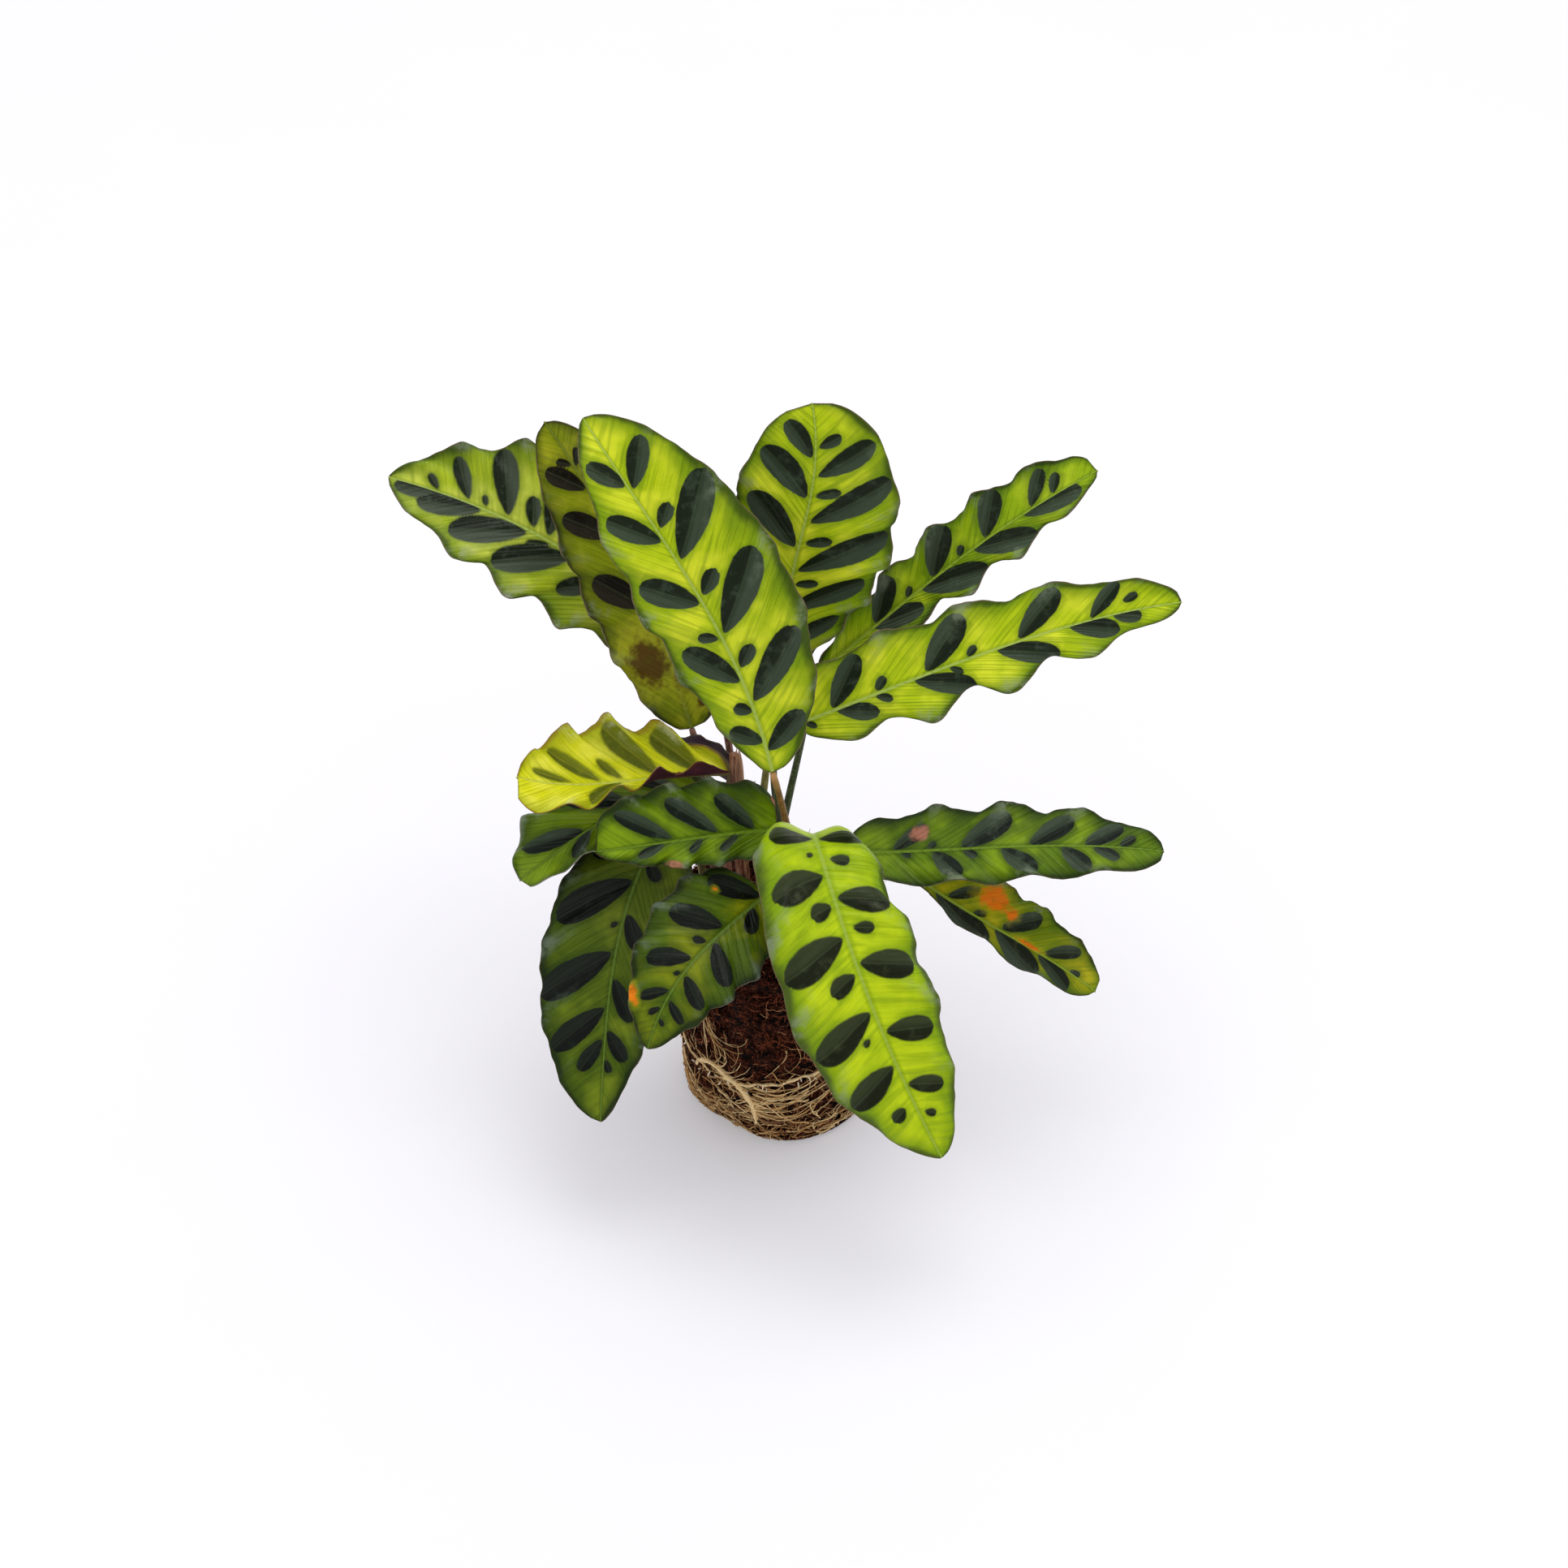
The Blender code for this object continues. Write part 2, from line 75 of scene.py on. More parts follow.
def unit(vectors: np.ndarray) -> np.ndarray:
    """Scale vectors to length 1."""
    return vectors / np.linalg.norm(vectors, axis=-1, keepdims=True)


def cubic(points: Sequence[np.ndarray], t: np.ndarray) -> tuple[np.ndarray, np.ndarray]:
    """Follow a cubic curve.

    Args:
        points: the curve's four control points.
        t: parameters from 0 to 1.

    Returns:
        The points of the curve and its directions.
    """
    p0, p1, p2, p3 = points
    t = np.asarray(t, dtype=float)[..., None]
    place = (1 - t) ** 3 * p0 + 3 * t * (1 - t) ** 2 * p1 + 3 * t ** 2 * (1 - t) * p2 + t ** 3 * p3
    way = (1 - t) ** 2 * (p1 - p0) + 2 * t * (1 - t) * (p2 - p1) + t ** 2 * (p3 - p2)
    return place, unit(way)


def smooth(value: np.ndarray, low: float, high: float) -> np.ndarray:
    """Rise from 0 at low to 1 at high, smoothly."""
    share = np.clip((value - low) / (high - low), 0, 1)
    return share * share * (3 - 2 * share)


class Graph:
    """The nodes of one material, added by short calls."""

    def __init__(self, name: str) -> None:
        """Start a material with a Principled shader.

        Args:
            name: the material's name.
        """
        self.material = bpy.data.materials.new(name)
        self.material.use_nodes = True
        self.tree = self.material.node_tree
        self.shader = self.tree.nodes["Principled BSDF"]

    def add(self, kind: str, **settings: object) -> bpy.types.Node:
        """Add a node and set its properties.

        Args:
            kind: the node's type.
            settings: its properties.

        Returns:
            The node.
        """
        node = self.tree.nodes.new(kind)
        for name, value in settings.items():
            setattr(node, name, value)
        return node

    def feed(self, socket: Socket, value: object) -> None:
        """Link a socket to a value, or set it where the value is a plain number or colour."""
        if isinstance(value, Socket):
            self.tree.links.new(value, socket)
        elif socket.type == "RGBA":
            socket.default_value = (*value, 1)
        else:
            socket.default_value = value

    def math(self, operation: str, a: object, b: object = 0.0) -> Socket:
        """Work out one sum from sockets or numbers.

        Args:
            operation: what the node does.
            a: its first value.
            b: its second value.

        Returns:
            The result.
        """
        node = self.add("ShaderNodeMath", operation=operation)
        self.feed(node.inputs[0], a)
        self.feed(node.inputs[1], b)
        return node.outputs[0]

    def attribute(self, name: str) -> Socket:
        """Read a number from the mesh's own attribute."""
        return self.add("ShaderNodeAttribute", attribute_name=name).outputs["Fac"]

    def step(self, value: object, low: float, high: float, most: float = 1.0) -> Socket:
        """Rise smoothly from 0 where value is low to most where it is high, which may be the lesser.

        Args:
            value: what is read.
            low: where the rise starts.
            high: where it ends.
            most: what it rises to.

        Returns:
            The result.
        """
        node = self.add("ShaderNodeMapRange", interpolation_type="SMOOTHSTEP")
        self.feed(node.inputs["Value"], value)
        if low > high:
            low, high = high, low
            node.inputs["To Min"].default_value = most
            node.inputs["To Max"].default_value = 0.0
        else:
            node.inputs["To Max"].default_value = most
        node.inputs["From Min"].default_value = low
        node.inputs["From Max"].default_value = high
        return node.outputs["Result"]

    def spread(self, value: object, low: float, high: float) -> Socket:
        """Turn a 0 to 1 value into low to high.

        Args:
            value: what is read.
            low: the result at 0.
            high: the result at 1.

        Returns:
            The result.
        """
        node = self.add("ShaderNodeMapRange")
        self.feed(node.inputs["Value"], value)
        node.inputs["To Min"].default_value = low
        node.inputs["To Max"].default_value = high
        return node.outputs["Result"]

    def mix(self, share: object, a: object, b: object) -> Socket:
        """Mix two colours.

        Args:
            share: how much of b shows, 0 to 1.
            a: one colour.
            b: the other colour.

        Returns:
            The colour.
        """
        node = self.add("ShaderNodeMix", data_type="RGBA")
        self.feed(node.inputs[0], share)
        self.feed(node.inputs[6], a)
        self.feed(node.inputs[7], b)
        return node.outputs[2]

    def coat(self, colour: object, tint: object, value: object, low: float, high: float,
             most: float = 1.0) -> Socket:
        """Lay a tint over a colour: none where value is low, and most of it where value is high."""
        return self.mix(self.step(value, low, high, most), colour, tint)

    def place(self) -> Socket:
        """Give the place on the object, in metres."""
        return self.add("ShaderNodeTexCoord").outputs["Object"]

    def chart(self, layer: str) -> Socket:
        """Give the place on the mesh's own UV map."""
        return self.add("ShaderNodeUVMap", uv_map=layer).outputs["UV"]

    def stretch(self, vector: Socket, scale: Point) -> Socket:
        """Scale a place by axis.

        Args:
            vector: the place.
            scale: a factor for each axis.

        Returns:
            The scaled place.
        """
        node = self.add("ShaderNodeMapping")
        self.feed(node.inputs["Vector"], vector)
        node.inputs["Scale"].default_value = scale
        return node.outputs["Vector"]

    def noise(self, vector: Socket, scale: float, detail: float = 2.0, rough: float = 0.5) -> Socket:
        """Give soft noise about 0.5.

        Args:
            vector: the place.
            scale: how fine the noise is.
            detail: how many finer layers it has.
            rough: how strong these are.

        Returns:
            The noise.
        """
        node = self.add("ShaderNodeTexNoise")
        self.feed(node.inputs["Vector"], vector)
        node.inputs["Scale"].default_value = scale
        node.inputs["Detail"].default_value = detail
        node.inputs["Roughness"].default_value = rough
        return node.outputs["Fac"]

    def jitter(self, vector: Socket, scale: float, size: float, detail: float = 2.0) -> Socket:
        """Give noise about 0, mostly within size either way."""
        centred = self.math("SUBTRACT", self.noise(vector, scale, detail), 0.5)
        return self.math("MULTIPLY", centred, 4 * size)

    def wander(self, name: str, place: Socket, scale: float, size: float, detail: float) -> Socket:
        """Read an attribute and let it stray with soft noise, so that its edges aren't drawn clean."""
        return self.math("ADD", self.attribute(name), self.jitter(place, scale, size, detail))

    def bump(self, height: object, distance: float) -> None:
        """Raise the surface by height times distance.

        Args:
            height: what is read.
            distance: how far it raises the surface, in metres.
        """
        node = self.add("ShaderNodeBump")
        node.inputs["Distance"].default_value = distance
        self.feed(node.inputs["Height"], height)
        self.tree.links.new(node.outputs["Normal"], self.shader.inputs["Normal"])

    def finish(self, colour: object, roughness: object, specular: float) -> bpy.types.Material:
        """Set the shader's main sockets and give the material.

        Args:
            colour: the base colour.
            roughness: 0 for a gloss and 1 for a dull surface.
            specular: how strongly it mirrors.

        Returns:
            The material.
        """
        self.feed(self.shader.inputs["Base Color"], colour)
        self.feed(self.shader.inputs["Roughness"], roughness)
        self.shader.inputs["Specular IOR Level"].default_value = specular
        return self.material


@dataclass(frozen=True)
class LeafFinish:
    """The colours of a blade, in linear light, and how strongly they show.

    lime, pale and deep make its green, spot and glow its ovals, and maroon and wine its underside;
    sheen is a painted highlight on the ovals, and glint pale light painted on the crests. band is
    the dark margin's width as a share of the half's own, and soft is how far an oval's edge blurs,
    in mm. From 0 to 1, halo is the deep green round an oval, shine how strongly the painted light
    on a crest shows, veined the side veins, folded the painted shade in the soft folds, and
    yellowed the yellow round a patch.
    """

    name: str
    lime: Colour = (0.44, 0.57, 0.004)
    pale: Colour = (0.68, 0.74, 0.025)
    deep: Colour = (0.13, 0.24, 0.001)
    spot: Colour = (0.007, 0.013, 0.004)
    painted_sheen: Colour = (0.050, 0.074, 0.042)
    glow: Colour = (0.080, 0.115, 0.045)
    painted_glint: Colour = (0.27, 0.32, 0.21)
    margin: Colour = (0.034, 0.068, 0.003)
    edge: Colour = (0.16, 0.10, 0.06)
    rib: Colour = (0.36, 0.48, 0.09)
    patch: Colour = (0.70, 0.20, 0.004)
    maroon: Colour = (0.050, 0.010, 0.017)
    wine: Colour = (0.12, 0.022, 0.036)
    band: float = 0.14
    soft: float = 0.35
    halo: float = 0.5
    painted_glint_amount: float = 0.55
    veined: float = 0.18
    painted_fold_shade: float = 0.38
    yellowed: float = 0.0

    WINE_VEIN = (0.16, 0.05, 0.06)
    UNDER_RIB = (0.16, 0.13, 0.04)
    FACE_ROUGHNESS = (0.24, 0.46)
    BACK_ROUGHNESS = (0.42, 0.58)
    FACE_SPECULAR = 0.12
    BACK_SPECULAR = 0.2
    FACE_RELIEF = 0.0003
    BACK_RELIEF = 0.00015
    VEINS_PER_CM = 2.3

    def face(self) -> bpy.types.Material:
        """Make the upper side: lime between dark ovals, with veins, a dark margin and a thin rim.

        Returns:
            The material.
        """
        g = Graph(f"{self.name}_face")
        chart = g.chart("leaf")
        place = g.place()
        cloud = g.noise(place, 45.0, 3.0)
        grain = g.noise(place, 900.0)
        mottle = g.noise(place, 150.0, 5.0, 0.65)
        fold = g.noise(g.stretch(chart, (3.4, 0.45, 1.0)), 1.0, 1.0, 0.4)
        streak = g.noise(g.stretch(chart, (22.0, 1.4, 1.0)), 1.0, 3.0, 0.6)
        veins = g.math("MULTIPLY", self._veins(g, chart), g.step(cloud, 0.40, 0.62))
        spot = g.wander("spot", place, 260.0, 0.22, 3.0)
        crest = g.wander("crest", place, 120.0, 0.14, 4.0)
        shore = g.wander("shore", place, 48.0, 0.09, 4.0)
        colour = self._ground(g, cloud, fold, streak, crest, shore)
        colour = g.mix(g.math("MULTIPLY", veins, self.veined), colour, self.deep)
        halo = g.math("ADD", spot, g.jitter(place, 80.0, 1.1))
        colour = g.coat(colour, self.deep, halo, 3.6, 0.0, self.halo)
        colour = g.coat(colour, self.margin, shore, self.band, self.band * 0.1, 0.9)
        colour = g.coat(colour, self._oval(g, place, mottle, streak), spot, self.soft, -self.soft)
        # Painted highlight: pale light on the wave crests near the margin, broken into patches.
        painted_glint_amount = g.math("MULTIPLY", g.step(crest, 0.25, 1.0), g.step(mottle, 0.40, 0.60))
        colour = g.mix(g.math("MULTIPLY", painted_glint_amount, self.painted_glint_amount), colour, self.painted_glint)
        colour = g.coat(colour, self.rib, g.attribute("midrib"), 1.5, 0.7, 0.85)
        blotch = g.wander("patch", place, 320.0, 0.15, 3.0)
        burnt = g.coat(self.patch, self.deep, mottle, 0.50, 0.66, 0.5)
        colour = g.coat(colour, self.pale, blotch, 0.05, 0.50, self.yellowed)
        colour = g.coat(colour, burnt, blotch, 0.40, 0.75)
        colour = g.coat(colour, self.edge, g.attribute("rim"), 0.45, 0.15, 0.7)
        gloss = g.math("ADD", g.spread(grain, -0.05, 0.05), g.spread(cloud, *self.FACE_ROUGHNESS))
        relief = g.math("ADD", g.math("MULTIPLY", grain, 0.4), g.math("MULTIPLY", fold, 3.0))
        g.bump(g.math("SUBTRACT", relief, g.math("MULTIPLY", veins, 0.6)), self.FACE_RELIEF)
        return g.finish(colour, gloss, self.FACE_SPECULAR)

    def _ground(self, g: Graph, cloud: Socket, fold: Socket, streak: Socket, crest: Socket,
                shore: Socket) -> Socket:
        """Mix the green between the ovals, with painted shade in the soft folds and in the wave troughs at
        the margin, and deeper by the margin and midrib.

        Args:
            g: the material's nodes.
            cloud: broad soft noise.
            fold: noise drawn out along the side veins.
            streak: fine noise drawn out in the same way.
            crest: 1 on a wave's crest at the margin, -1 in its trough.
            shore: 0 at the margin, and about 1 at the midrib.

        Returns:
            The colour.
        """
        colour = g.coat(self.lime, self.pale, cloud, 0.60, 0.38, 0.9)
        # Painted shade: darker green in the soft folds along the side veins.
        colour = g.coat(colour, self.deep, fold, 0.48, 0.66, self.painted_fold_shade)
        colour = g.coat(colour, self.deep, streak, 0.54, 0.72, 0.10)
        # Painted shade: darker green in the wave troughs near the margin.
        colour = g.coat(colour, self.deep, crest, 0.1, -0.8, 0.50)
        colour = g.coat(colour, self.deep, shore, self.band + 0.26, self.band * 0.5, 0.7)
        return g.coat(colour, self.deep, g.attribute("midrib"), 5.0, 1.6, 0.45)

    def _oval(self, g: Graph, place: Socket, mottle: Socket, streak: Socket) -> Socket:
        """Mix an oval's near black, with a painted highlight on its side towards the leaf's base and in
        patches, and a faint vein along its middle.

        Args:
            g: the material's nodes.
            place: the place on the object.
            mottle: uneven noise.
            streak: fine noise drawn out along the side veins.

        Returns:
            The colour.
        """
        core = g.attribute("core")
        # Painted highlight: lighter on the oval's side towards the base, and in patches.
        dark = g.coat(self.spot, self.painted_sheen, core, -1.5, 2.5, 0.8)
        dark = g.coat(dark, self.painted_sheen, mottle, 0.50, 0.68, 0.5)
        dark = g.coat(dark, self.spot, streak, 0.54, 0.72, 0.25)
        vein = g.math("ABSOLUTE", g.math("ADD", core, g.jitter(place, 200.0, 0.15)))
        return g.coat(dark, self.glow, vein, 0.60, 0.05, 0.22)

    def back(self) -> bpy.types.Material:
        """Make the dark red underside, with a green-brown midrib.

        Returns:
            The material.
        """
        g = Graph(f"{self.name}_back")
        place = g.place()
        grain = g.noise(place, 900.0)
        veins = self._veins(g, g.chart("leaf"))
        colour = g.coat(self.maroon, self.wine, g.noise(place, 60.0, 3.0), 0.35, 0.7)
        colour = g.mix(g.math("MULTIPLY", veins, 0.35), colour, self.WINE_VEIN)
        colour = g.coat(colour, self.UNDER_RIB, g.attribute("midrib"), 1.7, 0.9, 0.9)
        colour = g.coat(colour, self.edge, g.attribute("rim"), 0.5, 0.2, 0.7)
        g.bump(g.math("ADD", veins, g.math("MULTIPLY", grain, 0.5)), self.BACK_RELIEF)
        return g.finish(colour, g.spread(grain, *self.BACK_ROUGHNESS), self.BACK_SPECULAR)

    def _veins(self, g: Graph, chart: Socket) -> Socket:
        """Give thin lines along the side veins, 1 on a line and 0 between.

        Args:
            g: the material's nodes.
            chart: the place along and across the blade.

        Returns:
            The lines.
        """
        split = g.add("ShaderNodeSeparateXYZ")
        g.feed(split.inputs[0], chart)
        along = g.math("ADD", split.outputs["X"], g.jitter(chart, 1.2, 0.08))
        turns = g.math("MULTIPLY", along, self.VEINS_PER_CM)
        ridge = g.math("ABSOLUTE", g.math("SUBTRACT", g.math("FRACT", turns), 0.5))
        return g.step(ridge, 0.06, 0.0)


@dataclass(frozen=True)
class StemFinish:
    """A stalk's or sheath's skin: long streaks between two colours, with darker clouds.

    furrow is how deep its streaks are, in metres.
    """

    name: str
    main: Colour
    light: Colour
    dark: Colour
    roughness: float = 0.45
    furrow: float = 0.0002

    SPECULAR = 0.22

    def skin(self) -> bpy.types.Material:
        """Make the material.

        Returns:
            The material.
        """
        g = Graph(self.name)
        place = g.place()
        long = g.stretch(place, (1.0, 1.0, 0.06))
        streak = g.noise(long, 1400.0, 3.0, 0.6)
        cloud = g.noise(g.stretch(place, (1.0, 1.0, 0.4)), 90.0, 3.0)
        colour = g.coat(self.main, self.light, streak, 0.45, 0.62)
        colour = g.coat(colour, self.dark, cloud, 0.52, 0.70, 0.75)
        colour = g.coat(colour, self.light, g.attribute("tone"), 0.0, 1.0)
        g.bump(streak, self.furrow)
        gloss = g.spread(cloud, self.roughness - 0.08, self.roughness + 0.12)
        return g.finish(colour, gloss, self.SPECULAR)


@dataclass(frozen=True)
class PeatFinish:
    """Damp dark peat with red-brown crumbs and fibre, and painted shade, near black, in its hollows."""

    hollow: Colour = (0.0030, 0.0009, 0.0007)
    peat: Colour = (0.038, 0.0085, 0.0040)
    rust: Colour = (0.22, 0.056, 0.021)
    straw: Colour = (0.48, 0.24, 0.11)

    CRUST_RELIEF = 0.0022
    FIBRE_RELIEF = 0.0002
    CRUST_SPECULAR = 0.06
    FIBRE_SPECULAR = 0.08

    def crust(self) -> bpy.types.Material:
        """Make the ball's own surface.

        Returns:
            The material.
        """
        g = Graph("damp_peat")
        place = g.place()
        lumps = g.noise(place, 230.0, 6.0, 0.72)
        crumbs = g.noise(place, 700.0, 5.0, 0.7)
        fibre = g.noise(g.stretch(place, (1.0, 1.0, 0.55)), 1500.0, 3.0, 0.6)
        # Painted shade: near black where the lumps sink into hollows, deepest in the lowest.
        colour = g.coat(self.hollow, self.peat, lumps, 0.46, 0.56)
        colour = g.coat(colour, self.rust, crumbs, 0.51, 0.62, 0.75)
        colour = g.coat(colour, self.straw, fibre, 0.64, 0.72, 0.8)
        colour = g.coat(colour, self.hollow, lumps, 0.47, 0.40)
        g.bump(g.math("ADD", lumps, crumbs), self.CRUST_RELIEF)
        return g.finish(colour, g.spread(crumbs, 0.7, 1.0), self.CRUST_SPECULAR)

    def fibre(self) -> bpy.types.Material:
        """Make the loose threads and crumbs, each in a tone of its own.

        Returns:
            The material.
        """
        g = Graph("peat_fibre")
        tone = g.attribute("tone")
        grain = g.noise(g.place(), 1800.0, 2.0)
        colour = g.coat(self.peat, self.rust, tone, 0.1, 0.7)
        colour = g.coat(colour, self.straw, tone, 0.80, 1.0)
        colour = g.coat(colour, self.hollow, grain, 0.45, 0.7, 0.5)
        g.bump(grain, self.FIBRE_RELIEF)
        return g.finish(colour, 0.8, self.FIBRE_SPECULAR)


@dataclass(frozen=True)
class RootFinish:
    """Roots: pale straw, browner where they are old and damp, and white at new tips."""

    old: Colour = (0.16, 0.058, 0.019)
    straw: Colour = (0.54, 0.30, 0.095)
    pale: Colour = (0.84, 0.62, 0.30)
    tip: Colour = (0.95, 0.84, 0.62)
    damp: Colour = (0.06, 0.022, 0.010)

    RELIEF = 0.0003
    SPECULAR = 0.25

    def bark(self) -> bpy.types.Material:
        """Make the material.

        Returns:
            The material.
        """
        g = Graph("root_bark")
        place = g.place()
        tone = g.attribute("tone")
        cloud = g.noise(place, 240.0, 4.0, 0.6)
        grain = g.noise(place, 1600.0, 3.0)
        colour = g.coat(self.old, self.straw, tone, 0.0, 0.45)
        colour = g.coat(colour, self.pale, tone, 0.45, 0.85)
        colour = g.coat(colour, self.old, cloud, 0.50, 0.68, 0.55)
        colour = g.coat(colour, self.tip, tone, 1.0, 1.2)
        colour = g.coat(colour, self.damp, grain, 0.56, 0.70, 0.45)
        g.bump(g.math("ADD", grain, cloud), self.RELIEF)
        return g.finish(colour, g.spread(cloud, 0.5, 0.8), self.SPECULAR)


class Maker:
    """Shared ways to turn a bmesh into a finished piece of the plant."""

    made: dict[str, bpy.types.Material] = {}

    @classmethod
    def piece(cls, name: str, builder: bmesh.types.BMesh, finishes: Sequence[Callable],
              sharp: float | None = None) -> bpy.types.Object:
        """Turn a bmesh into an object at the origin.

        Args:
            name: the piece's name.
            builder: its bmesh, which is freed.
            finishes: functions that make the materials, in slot order.
            sharp: the angle in degrees past which an edge stays sharp.

        Returns:
            The object.
        """
        mesh = bpy.data.meshes.new(name)
        builder.to_mesh(mesh)
        builder.free()
        mesh.shade_smooth()
        if sharp is not None:
            mesh.set_sharp_from_angle(angle=math.radians(sharp))
        made = bpy.data.objects.new(name, mesh)
        bpy.context.scene.collection.objects.link(made)
        for finish in finishes:
            mesh.materials.append(cls.material(finish))
        return made

    @classmethod
    def material(cls, finish: Callable) -> bpy.types.Material:
        """Make a material once and share it.

        Args:
            finish: the function that makes it.

        Returns:
            The material.
        """
        key = f"{finish.__self__} {finish.__name__}"
        if key not in cls.made:
            cls.made[key] = finish()
        return cls.made[key]

    @staticmethod
    def seal(builder: bmesh.types.BMesh) -> None:
        """Weld a bmesh's seams and poles and turn its faces out.

        Args:
            builder: the bmesh.
        """
        bmesh.ops.remove_doubles(builder, verts=builder.verts, dist=MERGE)
        bmesh.ops.dissolve_degenerate(builder, edges=builder.edges, dist=MERGE)
        bmesh.ops.recalc_face_normals(builder, faces=builder.faces)

    @staticmethod
    def settle(piece: bpy.types.Object, slot: str, *nodes: str) -> None:
        """Let a piece ride with the plant and stand for its nodes.

        Args:
            piece: the finished object.
            slot: the name of its material slot, which is not used.
            nodes: the CAD nodes that it stands for.
        """
        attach(piece, "root")
        if nodes:
            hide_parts(*nodes)
        LOG.info("%s: %d faces", piece.name, len(piece.data.polygons))


@dataclass(frozen=True)
class Half:
    """One half of a blade, from the midrib to the margin.

    width is its greatest, belly is where along the blade that lies (0 to 1), and taper is
    above 1 for pointed ends and below 1 for blunt ones. cup and cup_tip are how far the half
    is turned up at the base and at the tip, in degrees. The margin has a number of waves
    along the blade, of height ruffle, which also widen it by the fraction scallop. Each of
    the spots is where it starts at the midrib, where along the blade it ends, how far out it
    reaches (0 to 1), its breadth as a share of its length, and how far out it starts.
    droop is how far the margin hangs at the base, in mm.
    """

    width: float
    belly: float
    taper: float
    cup: float
    cup_tip: float
    ruffle: float
    waves: float
    phase: float
    scallop: float
    spots: tuple[Spot, ...] = ()
    droop: float = 0.0


@dataclass(frozen=True)
class Stalk:
    """A stalk's way from its hole: its foot on the soil, then two points that it bends by."""

    foot: tuple[float, float]
    knee: Point
    elbow: Point
    finish: StemFinish


@dataclass
class Strand:
    """A round stem, root or thread: a line of points with a radius at each.

    tones are what its finish reads, one for the strand or one at each point.
    """

    points: np.ndarray
    radii: np.ndarray
    sides: int = 6
    tones: np.ndarray | float = 0.5

    def add(self, builder: bmesh.types.BMesh) -> None:
        """Add the strand to a bmesh as a grid rolled round its line, drawn shut at both ends.

        Args:
            builder: the bmesh.
        """
        points = np.vstack([self.points[:1], self.points, self.points[-1:]])
        radii = np.concatenate([[0.0], self.radii, [0.0]])
        tones = np.broadcast_to(self.tones, len(self.points))
        tones = np.concatenate([tones[:1], tones, tones[-1:]])
        ways = unit(np.gradient(self.points, axis=0))
        ways = np.vstack([ways[:1], ways, ways[-1:]])
        side = np.array([1.0, 0.0, 0.0]) if abs(ways[0][0]) < 0.9 else np.array([0.0, 1.0, 0.0])
        sides, others = [], []
        for way in ways:
            side = unit(side - way * np.dot(side, way))
            sides.append(side)
            others.append(np.cross(way, side))
        tone = builder.verts.layers.float["tone"]
        last = len(points) - 1
        grid = bmesh.ops.create_grid(builder, x_segments=last, y_segments=self.sides, size=1)
        for vertex in grid["verts"]:
            i = round((vertex.co.x + 1) / 2 * last)
            angle = (vertex.co.y + 1) * math.pi
            offset = (sides[i] * math.cos(angle) + others[i] * math.sin(angle)) * radii[i]
            vertex.co = points[i] + offset
            vertex[tone] = tones[i]

    @staticmethod
    def builder() -> bmesh.types.BMesh:
        """Start a bmesh that strands can be added to.

        Returns:
            The bmesh.
        """
        made = bmesh.new()
        made.verts.layers.float.new("tone")
        return made


